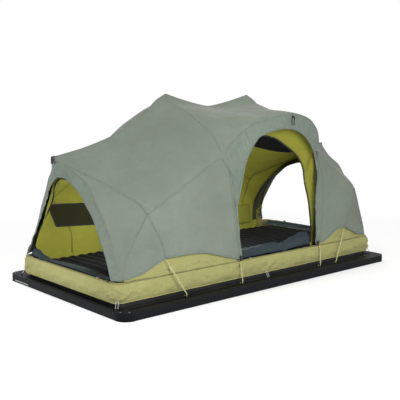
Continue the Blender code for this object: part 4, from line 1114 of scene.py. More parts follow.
class TENT_OT_stage(bpy.types.Operator):
    """Sets the camera, the soft studio light and the pale floor"""

    bl_idname = "tent.stage"
    bl_label = "Stage"

    def execute(self, context):
        context.scene.view_settings.view_transform = "Standard"
        self.camera(context)
        self.lights(context)
        self.floor(context)
        self.sky(context)
        return {"FINISHED"}

    def camera(self, context):
        yaw, pitch = math.radians(CAMERA_YAW), math.radians(CAMERA_PITCH)
        ahead = Vector(
            (math.sin(yaw) * math.cos(pitch), math.cos(yaw) * math.cos(pitch), math.sin(pitch))
        )
        right = Vector((math.cos(yaw), -math.sin(yaw), 0))
        up = right.cross(ahead)
        data = bpy.data.cameras.new("camera")
        data.sensor_width = SENSOR
        data.lens = FOCAL_PIXELS / PHOTO_SIDE * SENSOR
        data.shift_x = -CAMERA_SHIFT[0] / PHOTO_SIDE
        data.shift_y = CAMERA_SHIFT[1] / PHOTO_SIDE
        obj = bpy.data.objects.new("camera", data)
        turn = Matrix((right, up, -ahead)).transposed().to_4x4()
        obj.matrix_world = Matrix.Translation(CAMERA_PLACE) @ turn
        context.scene.collection.objects.link(obj)
        context.scene.camera = obj

    def lights(self, context):
        for name, place, target, size, power in LIGHTS:
            data = bpy.data.lights.new(name, "AREA")
            data.shape = "DISK"
            data.size = size
            data.energy = power
            obj = bpy.data.objects.new(name, data)
            facing = Vector(target) - Vector(place)
            turn = facing.to_track_quat("-Z", "Y").to_matrix().to_4x4()
            obj.matrix_world = Matrix.Translation(place) @ turn
            obj.visible_camera = False
            context.scene.collection.objects.link(obj)

    def floor(self, context):
        bm = bmesh.new()
        bmesh.ops.create_circle(bm, cap_ends=True, segments=96, radius=FLOOR_RADIUS)
        mesh = bpy.data.meshes.new("floor")
        bm.to_mesh(mesh)
        bm.free()
        obj = bpy.data.objects.new("floor", mesh)
        context.scene.collection.objects.link(obj)
        white, black = (0.80, 0.80, 0.80), (0.0, 0.0, 0.0)
        finish = Finish("floor_white", white, 0.9, specular=0.0)
        span = finish.node("VectorMath", {0: finish.place()}, "Value", operation="LENGTH")
        away = finish.ramp(span, *FLOOR_FADE)
        seen = finish.calc("MAXIMUM", finish.ray("Camera"), finish.ray("Glossy"))
        glow = finish.calc("MULTIPLY", seen, finish.ramp(away, 0.0, 1.0, FLOOR_GLOW, 1.0))
        finish.set("Base Color", finish.blend(away, white, black))
        finish.set("Emission Color", finish.blend(glow, black, (1.0, 1.0, 1.0)))
        finish.set("Emission Strength", 1.0)
        mesh.materials.append(finish.mat)

    def sky(self, context):
        world = bpy.data.worlds.new("studio")
        context.scene.world = world
        world.use_nodes = True
        graph = NodeGraph(world.node_tree)
        seen = graph.calc("MAXIMUM", graph.ray("Camera"), graph.ray("Glossy"))
        seen = graph.calc("MAXIMUM", seen, graph.ray("Transmission"))
        back = graph.nodes["Background"]
        graph.join((1, 1, 1, 1), back.inputs["Color"])
        graph.join(graph.ramp(seen, 0.0, 1.0, SKY_LEVEL, 1.0), back.inputs["Strength"])


# Guy lines


def guy_top(x, sy):
    """The end of a guy line, just under the fly's edge."""
    foot = door_foot if sy < 0 else far_foot
    ends = [foot(sx) for sx in (-1, 1)]
    ends += [side_point(SEAM_FOOT, sx, sy) for sx in (-1, 1)]
    nearest = min(ends, key=lambda p: abs(p.x - x))
    return nearest + Vector((0, 0, -CORD_DROP))


def guy_path(top_x, x, sy):
    """From the fly's edge down to the rail, through its staple to the knot."""
    z = RAIL_HEIGHT + STAPLE_GAP + CORD_RADIUS
    turn = ANCHOR_Y + STAPLE_TURN
    top = guy_top(top_x, sy)
    low = Vector((x, sy * (turn + 0.0005), z + 0.012))
    path = rung(top, low, 14)
    path += [
        Vector((x, sy * turn, z + 0.0035)), Vector((x, sy * (turn - 0.0022), z + 0.0006)),
        Vector((x, sy * (ANCHOR_Y + 0.0042), z)), Vector((x, sy * (ANCHOR_Y - 0.0052), z)),
    ]
    return path


class TENT_OT_guy_lines(bpy.types.Operator):
    """Runs the eight braided guy lines from the fly's edge to the rails"""

    bl_idname = "tent.guy_lines"
    bl_label = "Guy lines"

    def execute(self, context):
        mat = finish_of("guy_cord", braided, cloth().cord)
        lock_mat = finish_of("cord_lock", moulded, (0.44, 0.43, 0.24))
        for side, rows, sy in (("near", GUY_NEAR, -1), ("far", GUY_FAR, 1)):
            for i, (top_x, x) in enumerate(rows):
                self.guy(f"{side}_{i + 1}", guy_path(top_x, x, sy), sy, mat, lock_mat)
        return {"FINISHED"}

    def guy(self, name, path, sy, mat, lock_mat):
        bm = bmesh.new()
        tube(bm, path, CORD_RADIUS, 10)
        line = as_piece("guy_line_" + name, bm, mat, angle=60)
        knot = self.knot(name, path, sy, mat)
        lock = self.lock(name, path, lock_mat)
        back = self.return_strand(name, path, mat)
        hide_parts("guy_" + name)
        top, foot = path[0].z, path[-1].z
        sunk_top = HINGE_Z + (top - HINGE_Z) * FOLD_KEEP
        keep = (sunk_top - foot) / (top - foot)
        if keep < 0.99:
            for obj in (line, knot, lock, back):
                sink(obj, foot)
        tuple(path[0])
        path_length(path)

    def return_strand(self, name, path, mat):
        """The line's second strand, from its sliding lock back down to the staple."""
        side = Vector((2 * CORD_RADIUS + 0.0012, 0, 0))
        points = [path[3].lerp(path[4], 0.5), *path[4:15]]
        points = [p + side * ease(i + 0.6, 2.0) for i, p in enumerate(points)]
        bm = bmesh.new()
        tube(bm, points, CORD_RADIUS, 10)
        return as_piece("guy_return_" + name, bm, mat, angle=60)

    def knot(self, name, path, sy, mat):
        """An overhand stopper knot behind the staple."""
        centre = path[-1] + Vector((0, -sy * 0.0028, 0.0016))
        points = []
        for k in range(48):
            angle = 2 * math.pi * k / 48
            radius = 0.0019 + 0.0008 * math.cos(3 * angle)
            points.append(centre + Vector((
                radius * math.cos(2 * angle), 0.0014 * math.sin(3 * angle),
                radius * math.sin(2 * angle),
            )))
        bm = bmesh.new()
        tube(bm, points, KNOT_STRAND, 7, closed=True)
        return as_piece("guy_knot_" + name, bm, mat, angle=60)

    def lock(self, name, path, mat):
        """A small sliding lock that joins the two strands near the top."""
        place = path[3].lerp(path[4], 0.5)
        along = (path[0] - path[14]).normalized()
        turn = along.to_track_quat("Z", "X").to_matrix().to_4x4()
        bm = bmesh.new()
        add_box(bm, LOCK_SIZE, Matrix.Translation(place) @ turn, 0.0014)
        return as_piece("guy_lock_" + name, bm, mat)


# Fly


def sew_arch(bm, seams, sx, sy, relief, **options):
    """The cloth between the sewn edge of an end's opening and the opening itself."""
    edge, opening = seams.band_edge(sx, sy), seams.end_arch(sx, sy)
    add_strip(bm, edge, opening, seams.density, relief=relief, **options)


def sew_panels(bm, seams, roof, side, slack, end_rows, arches=False):
    """The roof and side panels between the seams, with their creases and the slack of each."""
    for sx in (-1, 1):
        for sy in (-1, 1):
            hoop, end = seams.main_hoop(sx, sy), seams.end_hoop(sx, sy)
            add_patch(
                bm, seams.ridge(sx), seams.eave_line(sx, sy), hoop, end, slack=slack["roof"],
                relief=roof,
            )
            leg, hip = seams.shoulder_leg(sx, sy), seams.hip(sx, sy)
            corner = seams.corner_hem(sx, sy)
            add_patch(
                bm, [leg[0]] * len(corner), corner, leg, hip, slack=slack["corner"], relief=side
            )
            outer = end + hip[1:]
            left, right = ([outer[i]] * (end_rows + 1) for i in (0, -1))
            add_patch(
                bm, outer, seams.band_edge(sx, sy), left, right, slack=slack["end"], relief=side
            )
            if arches:
                sew_arch(bm, seams, sx, sy, side, mat_index=int(sx > 0))
        near_hem = list(reversed(seams.near_hem(sx)))
        add_patch(
            bm, seams.eave_line(sx, -1), near_hem, seams.door_seam(sx),
            seams.shoulder_leg(sx, -1), slack=slack["side"], relief=side,
        )
        add_patch(
            bm, seams.eave_line(sx, 1), seams.far_side_hem(sx), seams.far_leg(sx),
            seams.shoulder_leg(sx, 1), slack=slack["side"], relief=side,
        )
    add_patch(
        bm, seams.middle_ridge(), seams.hood_ridge(), seams.main_hoop(-1, -1),
        seams.main_hoop(1, -1), HOOD_SAG, HOOD_DROP, 0.002, roof,
    )
    legs = [seams.main_hoop(sx, 1) + seams.far_leg(sx)[1:] for sx in (-1, 1)]
    add_patch(
        bm, seams.middle_ridge(), seams.far_hem(), *legs, slack=slack["far"], relief=side
    )


def band_outer(seams):
    """The sewn edge of the door's band, from its left foot over the hood to its right foot."""
    outer = list(reversed(seams.door_seam(-1)))
    return outer + seams.hood_ridge()[1:] + seams.door_seam(1)[1:]


def gathers(point):
    """Ribs that run across a doorway's band, from -1 to 1."""
    if abs(point.x) < PEAK_SPREAD + 0.2 and point.y < 0:
        across, rise = point.x - BAND_CENTRE[0], point.z - BAND_CENTRE[1]
    else:
        across, rise = point.y, point.z - BAND_END_CENTRE
    turn, reach = math.atan2(rise, across), math.hypot(rise, across)
    turn += 0.10 * noise.noise(point * 7.0)
    fine = noise.noise(Vector((turn * 12.0, reach * 9.0, 1.9)))
    broad = noise.noise(Vector((turn * 5.5, reach * 5.0, 7.4)))
    return fine + broad


def fly_bands(bm, seams, creased):
    """The bands round the three doorways."""
    swell = creases(creased * 1.4, 0.10, (1, 1, 1), 5.5)

    def relief(point):
        return swell(point) + creased * 1.5 * gathers(point)

    for sx, sy in CORNERS:
        sew_arch(bm, seams, sx, sy, relief, held="tlr")
    add_strip(bm, band_outer(seams), seams.door_edge(), seams.density, relief=relief, held="t")


def fly_seam_paths(seams):
    """Every sewn seam on the outside."""
    for sx in (-1, 1):
        yield seams.ridge(sx)
        for sy in (-1, 1):
            yield seams.main_hoop(sx, sy)
            yield seams.end_hoop(sx, sy)
            yield seams.shoulder_leg(sx, sy)
            yield seams.hip(sx, sy)
            yield seams.eave_line(sx, sy)
            yield seams.band_edge(sx, sy)
        yield seams.far_leg(sx)
    yield seams.middle_ridge()
    yield band_outer(seams)


def fly_edge_paths(seams):
    """The bound edges at the hem and round the doorways."""
    for sx in (-1, 1):
        yield seams.near_hem(sx)
        yield seams.far_side_hem(sx)
        for sy in (-1, 1):
            yield seams.corner_hem(sx, sy)
            yield seams.end_arch(sx, sy)
    yield seams.far_hem()
    yield seams.door_edge()


class TENT_OT_fly(bpy.types.Operator):
    """Sews the fly: panels, banded doorways, taped seams, bound edges and patches"""

    bl_idname = "tent.fly"
    bl_label = "Fly"

    def execute(self, context):
        settings = cloth()
        seams = Seams(0.0, settings.density)
        mat = finish_of("fly_canvas", woven, settings.fly)
        band_mat = finish_of("band_canvas", puckered, settings.band)
        side = creases(settings.crease * 1.2, 0.20, (1, 1, 1.9), 3.1)
        roof = creases(settings.crease, 0.26, (1.4, 1, 1), 7.7)
        bm, bands, whole = bmesh.new(), bmesh.new(), bmesh.new()
        sew_panels(bm, seams, roof, side, FLY_SLACK, 2 * seams.density)
        fly_bands(bands, seams, settings.crease)
        for part in (bm, bands):
            weld(part)
            mesh = bpy.data.meshes.new("joined")
            part.to_mesh(mesh)
            whole.from_mesh(mesh)
            bpy.data.meshes.remove(mesh)
        surface = surface_of(whole)
        whole.free()
        panels = as_piece("fly_panels", bm, mat, thickness=0.0016, folds=True)
        band = as_piece("fly_bands", bands, band_mat, thickness=0.0018, folds=True)
        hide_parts("fly")
        trims = [self.tapes(seams, surface), self.edges(seams, surface), self.patches(surface)]
        return {"FINISHED"}

    def tapes(self, seams, surface):
        bm = bmesh.new()
        for path in fly_seam_paths(seams):
            lay_strip(bm, path, surface, SEAM_WIDTH, SEAM_LIFT)
        mat = finish_of(
            "fly_seam", sewn_tape, tinted(cloth().fly, 0.90), tinted(cloth().fly, 0.7),
            (0.0025, 0.0085),
        )
        return as_piece("fly_seams", bm, mat, thickness=0.0007, folds=True)

    def edges(self, seams, surface):
        bm = bmesh.new()
        for path in fly_edge_paths(seams):
            lay_strip(bm, path, surface, BINDING_WIDTH, 0.0, edge=True)
        mat = finish_of(
            "fly_binding", sewn_tape, tinted(cloth().band, 0.88), tinted(cloth().band, 0.6),
            (0.0095,),
        )
        return as_piece("fly_binding", bm, mat, thickness=0.0034, folds=True)

    def patches(self, surface):
        """Doubled cloth where the hoops push: the peaks and the eaves."""
        bm = bmesh.new()
        rows = [(peak(sx), PEAK_PATCH) for sx in (-1, 1)]
        rows += [(eave(sx, sy), EAVE_PATCH) for sx, sy in CORNERS]
        for centre, size in rows:
            _, normal = on_surface(surface, centre, 0)
            first = normal.orthogonal().normalized()
            second = normal.cross(first)

            def place(j, i):
                angle = 2 * math.pi * i / 32
                radius = size * j / 6 * (1 - PATCH_WAIST * math.cos(4 * angle))
                arm = math.cos(angle) * first + math.sin(angle) * second
                return on_surface(surface, centre + arm * radius, PATCH_LIFT)[0]

            grid_sheet(bm, grid_of(6, 32, place), 2 * math.pi * size, size)
        weld(bm)
        mat = finish_of("fly_patch", woven, tinted(cloth().fly, 1.01), crinkle=0.3)
        return as_piece("fly_patches", bm, mat, thickness=0.0008, folds=True)


# Inner tent


def tucked(point):
    """Keeps the inner tent's lower wall inside the poles' feet."""
    rise = max(0, point.z - INNER_WALL_TOP)
    if point.z < EAVE_Z - INNER_DEPTH / 2:
        limit = INNER_WALL_Y + INNER_WALL_FLARE * rise
        point.y = max(-limit, min(limit, point.y))
        limit = INNER_WALL_X + INNER_WALL_FLARE * rise
        right = INNER_CORNER_X + INNER_CORNER_FLARE * max(0, point.z - INNER_CORNER_Z)
        point.x = max(-limit, min(limit, right, point.x))
    return point


def inner_foot_paths(seams):
    """The lower edges of the inner tent's cloth, from the doors round to the far side."""
    for sx in (-1, 1):
        yield seams.near_hem(sx)
        yield seams.far_side_hem(sx)
        for sy in (-1, 1):
            yield seams.corner_hem(sx, sy)
            opening = seams.end_arch(sx, sy)
            yield rung(seams.band_edge(sx, sy)[-1], opening[-1], 3)
    yield seams.far_hem()
    door = seams.inner_door_edge()
    yield rung(seams.door_seam(-1)[-1], door[0], 3)
    yield rung(seams.door_seam(1)[-1], door[-1], 3)


def inner_cloth_mesh(seams):
    bm = bmesh.new()
    relief = creases(0.0035, 0.13, (1, 1, 1.5), 11.3)
    steps = seams.density
    sew_panels(bm, seams, relief, relief, INNER_SLACK, steps, arches=True)
    add_strip(bm, band_outer(seams), seams.inner_door_edge(), steps, relief=relief)
    for path in inner_foot_paths(seams):
        add_strip(bm, path, [Vector((p.x, p.y, INNER_FOOT)) for p in path], steps)
    for vert in bm.verts:
        vert.co = tucked(vert.co)
    weld(bm)
    return bm


def inner_seam_paths(seams):
    for sx in (-1, 1):
        for sy in (-1, 1):
            yield seams.main_hoop(sx, sy)
            yield seams.end_hoop(sx, sy)
            leg = seams.shoulder_leg(sx, sy)
            foot = Vector((leg[-1].x, leg[-1].y, INNER_SEAM_FOOT))
            yield leg + rung(leg[-1], foot, 6)[1:]
            yield seams.eave_line(sx, sy)
        yield seams.far_leg(sx)


def cast_grid(surface, corners, facing, steps, lift):
    """A grid of points cast on the cloth from inside, held clear of it by lift.

    The corners run round the panel: top left, top right, bottom right, bottom left.
    """
    corners = [Vector(c) for c in corners]
    across, down = steps

    def place(j, i):
        left = corners[0].lerp(corners[3], j / down)
        right = corners[1].lerp(corners[2], j / down)
        found, _, _, _ = surface.ray_cast(left.lerp(right, i / across), facing)
        if found is None:
            raise RuntimeError("no cloth in front of a window")
        return found - facing * lift

    return grid_of(down, across, place)


class TENT_OT_inner_tent(bpy.types.Operator):
    """Sews the inner tent with its net windows, zips, seams and pocket"""

    bl_idname = "tent.inner_tent"
    bl_label = "Inner tent"

    def execute(self, context):
        settings = cloth()
        seams = Seams(INNER_DEPTH, settings.density)
        bm = inner_cloth_mesh(seams)
        surface = surface_of(bm)
        mat = finish_of("inner_cotton", woven, settings.inner, crinkle=0.7, fade=0.10, folds=9.0)
        tent = as_piece("inner_tent_cloth", bm, mat, thickness=0.0010, folds=True)
        tent.data.materials.append(finish_of("jamb_net", netting, settings.jamb))
        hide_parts("inner_tent")
        trims = [self.seams(seams, surface), self.zips(seams, surface)]
        trims += [*self.windows(surface), self.pocket(surface)]
        return {"FINISHED"}

    def seams(self, seams, surface):
        bm = bmesh.new()
        for path in inner_seam_paths(seams):
            lay_strip(bm, [tucked(p.copy()) for p in path], surface, INNER_TAPE, -0.0012)
        mat = finish_of(
            "inner_seam", sewn_tape, tinted(cloth().inner, 0.55), tinted(cloth().inner, 0.3),
            (0.002, 0.007),
        )
        return as_piece("inner_seams", bm, mat, thickness=0.0008, folds=True)

    def zips(self, seams, surface):
        """Black zips round the three doorways."""
        bm = bmesh.new()
        paths = [seams.end_arch(sx, sy) for sx, sy in CORNERS]
        paths.append(seams.inner_door_edge())
        for path in paths:
            lay_strip(bm, [tucked(p.copy()) for p in path], surface, INNER_TAPE, 0.0, edge=True)
        for sy in (-1, 1):
            edge, opening = seams.band_edge(1, sy), seams.end_arch(1, sy)
            path = [o.lerp(e, 0.22) for o, e in zip(opening, edge)]
            lay_strip(bm, [tucked(p) for p in path], surface, INNER_TAPE, -SEAM_LIFT)
        mat = finish_of("door_zip", sewn_tape, cloth().tape, (0.05, 0.05, 0.05), (0.0045,), 0.0024)
        return as_piece("inner_zips", bm, mat, thickness=0.0030, folds=True)

    def windows(self, surface):
        """Net panels: a skylight over each end and two windows in the far wall."""
        wall = finish_of("wall_net", netting, cloth().net)
        roof = finish_of("roof_net", netting, cloth().roof_net)
        tape = finish_of(
            "net_tape", sewn_tape, cloth().tape, (0.05, 0.05, 0.05), (0.002, 0.008)
        )
        up, back = Vector((0, 0, 1)), Vector((0, 1, 0))
        panels = [
            (name, [(x, CAST_Y, z) for x, z in corners], back, wall)
            for name, corners in WALL_WINDOWS.items()
        ]
        for name, sx in (("roof_left", -1), ("roof_right", 1)):
            panels.append((name, [(sx * x, y, CAST_Z) for x, y in ROOF_WINDOW], up, roof))
        made = []
        frames = bmesh.new()
        for name, corners, facing, mat in panels:
            grid = cast_grid(surface, corners, facing, (26, 14), WINDOW_LIFT)
            bm = bmesh.new()
            grid_sheet(bm, grid, path_length(grid[0]), path_length([r[0] for r in grid]))
            made.append(
                as_piece("net_" + name, bm, mat, thickness=0.0006, folds=True)
            )
            for path in (grid[0], grid[-1], [r[0] for r in grid], [r[-1] for r in grid]):
                line = smooth_path(path, 24)
                lay_strip(frames, line, surface, SEAM_WIDTH, -NET_LIFT)
        made.append(as_piece("net_frames", frames, tape, thickness=0.0010, folds=True))
        return made

    def pocket(self, surface):
        """A flat pocket sewn to the far wall near the right end."""
        (left, right), (low, high) = POCKET_X, POCKET_Z
        corners = [(left, high), (right, high), (right, low), (left, low)]
        corners = [(x, CAST_Y, z) for x, z in corners]
        grid = cast_grid(surface, corners, Vector((0, 1, 0)), (20, 10), POCKET_LIFT)
        for j, row in enumerate(grid):
            for i, point in enumerate(row):
                puff = math.sin(math.pi * i / 20) * (1 - j / 10)
                point.y -= POCKET_PUFF * puff
        bm = bmesh.new()
        grid_sheet(bm, grid, right - left, high - low)
        mat = finish_of("pocket_cloth", woven, tinted(cloth().inner, 0.8), crinkle=0.5)
        return as_piece("inner_pocket", bm, mat, thickness=0.0010, folds=True)


# Tub, skirts and mattress


def rounded_loop(x, y, radius, z, corner_steps, side_steps):
    """Points round a rectangle with rounded corners."""
    points = []
    corners = [(1, 1), (-1, 1), (-1, -1), (1, -1)]
    for k, (sx, sy) in enumerate(corners):
        centre = Vector((sx * (x - radius), sy * (y - radius), z))
        for i in range(corner_steps):
            angle = math.pi / 2 * (k + i / (corner_steps - 1))
            arm = Vector((math.cos(angle), math.sin(angle), 0))
            points.append(centre + arm * radius)
        n = corners[(k + 1) % 4]
        following = Vector((n[0] * (x - radius), n[1] * (y - radius), z))
        angle = math.pi / 2 * (k + 1)
        following += Vector((math.cos(angle), math.sin(angle), 0)) * radius
        last = points[-1]
        steps = side_steps if k % 2 == 0 else side_steps // 2
        points += [last.lerp(following, i / steps) for i in range(1, steps)]
    return points


def tub_rows(steps):
    """Distance outside the tub's face, and height, from the floor's edge round to the inside."""
    rows = [(-0.004, TUB_BOTTOM), (-0.0008, TUB_BOTTOM + 0.0015), (0.0, TUB_BOTTOM + 0.004)]
    for i in range(1, steps):
        share = i / steps
        out = TUB_BULGE * math.sin(math.pi * share) ** 0.8
        rows.append((out, TUB_BOTTOM + 0.004 + share * 0.093))
    rows += [(-0.0006, TUB_TOP - 0.010), (-0.0020, TUB_TOP - 0.0056)]
    rows += [(-0.0045, TUB_TOP - 0.0020), (-0.0075, TUB_TOP - 0.0003), (-0.0100, TUB_TOP)]
    rows += [(-0.020, TUB_TOP), (-0.023, TUB_TOP - 0.0012)]
    inside = [(-TUB_WALL, TUB_TOP - 0.004), (-TUB_WALL, TUB_TOP - 0.03), (-TUB_WALL, FLOOR_TOP)]
    return rows + inside


def tub_pull(point):
    """Folds that fan out from the places where the wall is tied down."""
    total = 0.0
    for x, y in TUB_TIES:
        along = math.hypot(abs(point.x) - x, abs(point.y) - y)
        rise = point.z - TUB_BOTTOM
        reach = math.hypot(along, rise)
        if reach < TUB_PULL_REACH:
            stray = 1.4 * noise.noise(point * 9.0)
            fan = math.cos(8 * math.atan2(rise, along) + stray)
            total += fan * ease(reach, 0.04) * (1 - reach / TUB_PULL_REACH)
    return total


def tub_dent(point, height):
    """How far the padded wall stands in or out at a place."""
    x, y, z = point
    near_end = ease(TUB_CORNER_REACH - (TUB_X - abs(x)), TUB_CORNER_REACH)
    near_side = ease(TUB_CORNER_REACH - (TUB_Y - abs(y)), TUB_CORNER_REACH)
    corner = max(near_end * near_side, 0.40)
    slow = noise.noise(Vector((x * 6, y * 6, z * 10)))
    middle = noise.noise(Vector((x * 17 + z * 9, y * 17 + z * 9, z * 22 + 5)))
    slant = noise.noise(Vector((x * 30 + z * 38, y * 30 + z * 38, z * 7 + 2)))
    fold = 1 - min(1.0, abs(slant) * 5)
    return height * (0.9 * slow + 0.8 * middle - 1.2 * fold * corner + 1.1 * tub_pull(point))


class TENT_OT_tub(bpy.types.Operator):
    """Makes the padded tub wall with its piping and skirts"""

    bl_idname = "tent.tub"
    bl_label = "Tub"

    def execute(self, context):
        settings = cloth()
        mat = finish_of("tub_canvas", woven, settings.tub, crinkle=1.5, fade=0.10, folds=12.0)
        tub = self.wall(context.scene.tent_tub, mat)
        self.piping(context.scene.tent_tub)
        self.skirts(mat)
        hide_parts("tub")
        return {"FINISHED"}

    def wall(self, sizes, mat):
        bm = bmesh.new()
        rings, run = [], []
        for out, z in tub_rows(14):
            loop = rounded_loop(TUB_X + out, TUB_Y + out, TUB_CORNER + out, z, 13, 200)
            middle = ease(z - TUB_BOTTOM - 0.006, 0.03) * ease(TUB_TOP - 0.006 - z, 0.025)
            ring = []
            for k, point in enumerate(loop):
                along = loop[(k + 1) % len(loop)] - loop[k - 1]
                normal = Vector((along.y, -along.x, 0)).normalized()
                if out > -0.001:
                    point = point + normal * tub_dent(point, sizes.puff) * middle
                ring.append(bm.verts.new(point))
            rings.append(ring)
            run.append(z - out)
        step = 4 * (TUB_X + TUB_Y) / len(rings[0])
        skin(bm, rings, lambda row, k: (step * k, run[row]))
        return as_piece("tub_wall", bm, mat, angle=50)

    def piping(self, sizes):
        """Pale piping round the foot of the wall and a darker seam round its rim."""
        rows = [
            ("foot", 0.0006, TUB_BOTTOM + 0.0036, sizes.piping, 1.12),
            ("rim", -0.0030, TUB_TOP - 0.0030, sizes.piping * 0.7, 0.50),
        ]
        for name, out, z, radius, tint in rows:
            mat = finish_of("tub_piping_" + name, woven, tinted(cloth().tub, tint), crinkle=0.2)
            bm = bmesh.new()
            loop = rounded_loop(TUB_X + out, TUB_Y + out, TUB_CORNER + out, z, 13, 120)
            for point in loop:
                point.z += 0.0012 * noise.noise(Vector((point.x * 11, point.y * 11, z)))
            tube(bm, loop, radius, 8, closed=True)
            as_piece("tub_piping_" + name, bm, mat, angle=60)

    def skirts(self, mat):
        """Cloth that rises from the tub's rim behind the scalloped hem."""
        rows = [
            ("near_left", -SKIRT_X, SKIRT_GAP[0], -1), ("near_right", SKIRT_GAP[1], SKIRT_X, -1),
            ("far", -SKIRT_X, SKIRT_X, 1),
        ]
        rise = creases(0.0024, 0.06, (1, 1, 0.6), 8.8)
        for name, left, right, sy in rows:
            steps = int((right - left) / 0.012)

            def place(j, i):
                x = left + (right - left) * i / steps
                top = SKIRT_LOW_TOP
                top += (SKIRT_TOP - SKIRT_LOW_TOP) * ease(abs(x) - SKIRT_MIDDLE, 0.22)
                top -= (SKIRT_TOP - SKIRT_END_TOP) * ease(abs(x) - SKIRT_END, 0.10)
                z = TUB_TOP + STAPLE_GAP + (top - TUB_TOP - STAPLE_GAP) * j / 16
                free = ease(j / 16, 0.35)
                run = SKIRT_Y - SKIRT_TUCK * ease(abs(x) - SKIRT_TUCK_START, 0.12)
                return Vector((x, sy * (run + free * rise(Vector((x, 0, z)))), z))

            bm = bmesh.new()
            grid_sheet(bm, grid_of(16, steps, place), right - left, SKIRT_TOP - TUB_TOP)
            skirt = as_piece("skirt_cloth_" + name, bm, mat, thickness=0.0012)
            sink(skirt, TUB_TOP)
            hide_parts("skirt_" + name)


def mattress_height(x, y, sizes):
    """Height of the channelled top at a place."""
    share = min(1.0, abs(y) / MATTRESS_Y)
    phase = 0.5 + 0.5 * math.cos(2 * math.pi * x / sizes.channel_pitch)
    puff = phase**0.45
    edge = 0.020 * ease(share - 0.90, 0.10) + 0.016 * ease(abs(x) - MATTRESS_X + 0.06, 0.06)
    pucker = 0.0016 * noise.noise(Vector((x * 40, y * 22, 3.0))) * (1 - 0.5 * puff)
    sag = 0.003 * noise.noise(Vector((x * 3, y * 4, 9.0)))
    crown = MATTRESS_CROWN * (1 - share**2)
    return MATTRESS_TOP + crown - sizes.channel_depth * (1 - puff) - edge + pucker + sag


class TENT_OT_mattress(bpy.types.Operator):
    """Makes the channelled mattress with its rounded edge"""

    bl_idname = "tent.mattress"
    bl_label = "Mattress"

    def execute(self, context):
        sizes = context.scene.tent_tub
        bm = bmesh.new()
        bmesh.ops.create_grid(bm, x_segments=300, y_segments=60, size=1)
        for vert in bm.verts:
            x, y = vert.co.x * MATTRESS_X, vert.co.y * MATTRESS_Y
            vert.co = Vector((x, y, mattress_height(x, y, sizes)))
        rim = [edge for edge in bm.edges if edge.is_boundary]
        for drop, out in ((0.012, 0.004), (0.016, 0.003), (0.022, -0.001), (None, -0.004)):
            made = bmesh.ops.extrude_edge_only(bm, edges=rim)["geom"]
            for vert in (g for g in made if isinstance(g, bmesh.types.BMVert)):
                vert.co.z = MATTRESS_BASE if drop is None else max(MATTRESS_BASE, vert.co.z - drop)
                if abs(vert.co.x) > MATTRESS_X - 0.01:
                    vert.co.x += math.copysign(out, vert.co.x)
                if abs(vert.co.y) > MATTRESS_Y - 0.01:
                    vert.co.y += math.copysign(out, vert.co.y)
            rim = [g for g in made if isinstance(g, bmesh.types.BMEdge)]
        bmesh.ops.contextual_create(bm, geom=rim)
        mat = finish_of("mattress_quilt", quilted, cloth().quilt)
        pad = as_piece("mattress_pad", bm, mat, angle=60)
        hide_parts("mattress")
        return {"FINISHED"}


# Lowered door flaps


def flap_rest(y):
    """Height at which a flap lies on the mattress."""
    share = min(0.94, abs(y) / MATTRESS_Y)
    return MATTRESS_TOP + MATTRESS_CROWN * (1 - share**2) + 0.0003


def roll_height(share, puff):
    """Height of the bundled cloth above the mattress, from its outer edge (0) to its inner."""
    for (a, low), (b, high) in zip(FLAP_ROLL, FLAP_ROLL[1:]):
        if share <= b:
            t = ease(share - a, b - a)
            return puff * (low + (high - low) * t)
    return 0.0


def bundled_rows(place, steps, across, seed):
    """A strip bundled in long soft pleats: place gives the point, its lift and its puff."""

    def pleated(j, i):
        u, v = i / steps, j / across
        wander = noise.noise(Vector((u * 4.0 + seed, v * 1.4, seed)))
        phase = 2 * math.pi * (PLEATS * v + 0.7 * wander + 0.5 * u)
        pleat = (0.5 + 0.5 * math.sin(phase)) ** 1.6
        small = noise.noise(Vector((u * 16 + seed, v * 4.0, 2 * seed)))
        hold = math.sin(math.pi * min(1.0, 0.08 + 0.92 * v))
        point, puff = place(u, v)
        rise = roll_height(v, puff) + puff * hold * (PLEAT_RISE * pleat + 0.004 * small)
        inset = 0.007 * noise.noise(Vector((u * 7 + seed, 4.0 + v, seed))) * v
        return point + Vector((0, inset, max(0.0, rise)))

    return grid_of(across, steps, pleated)


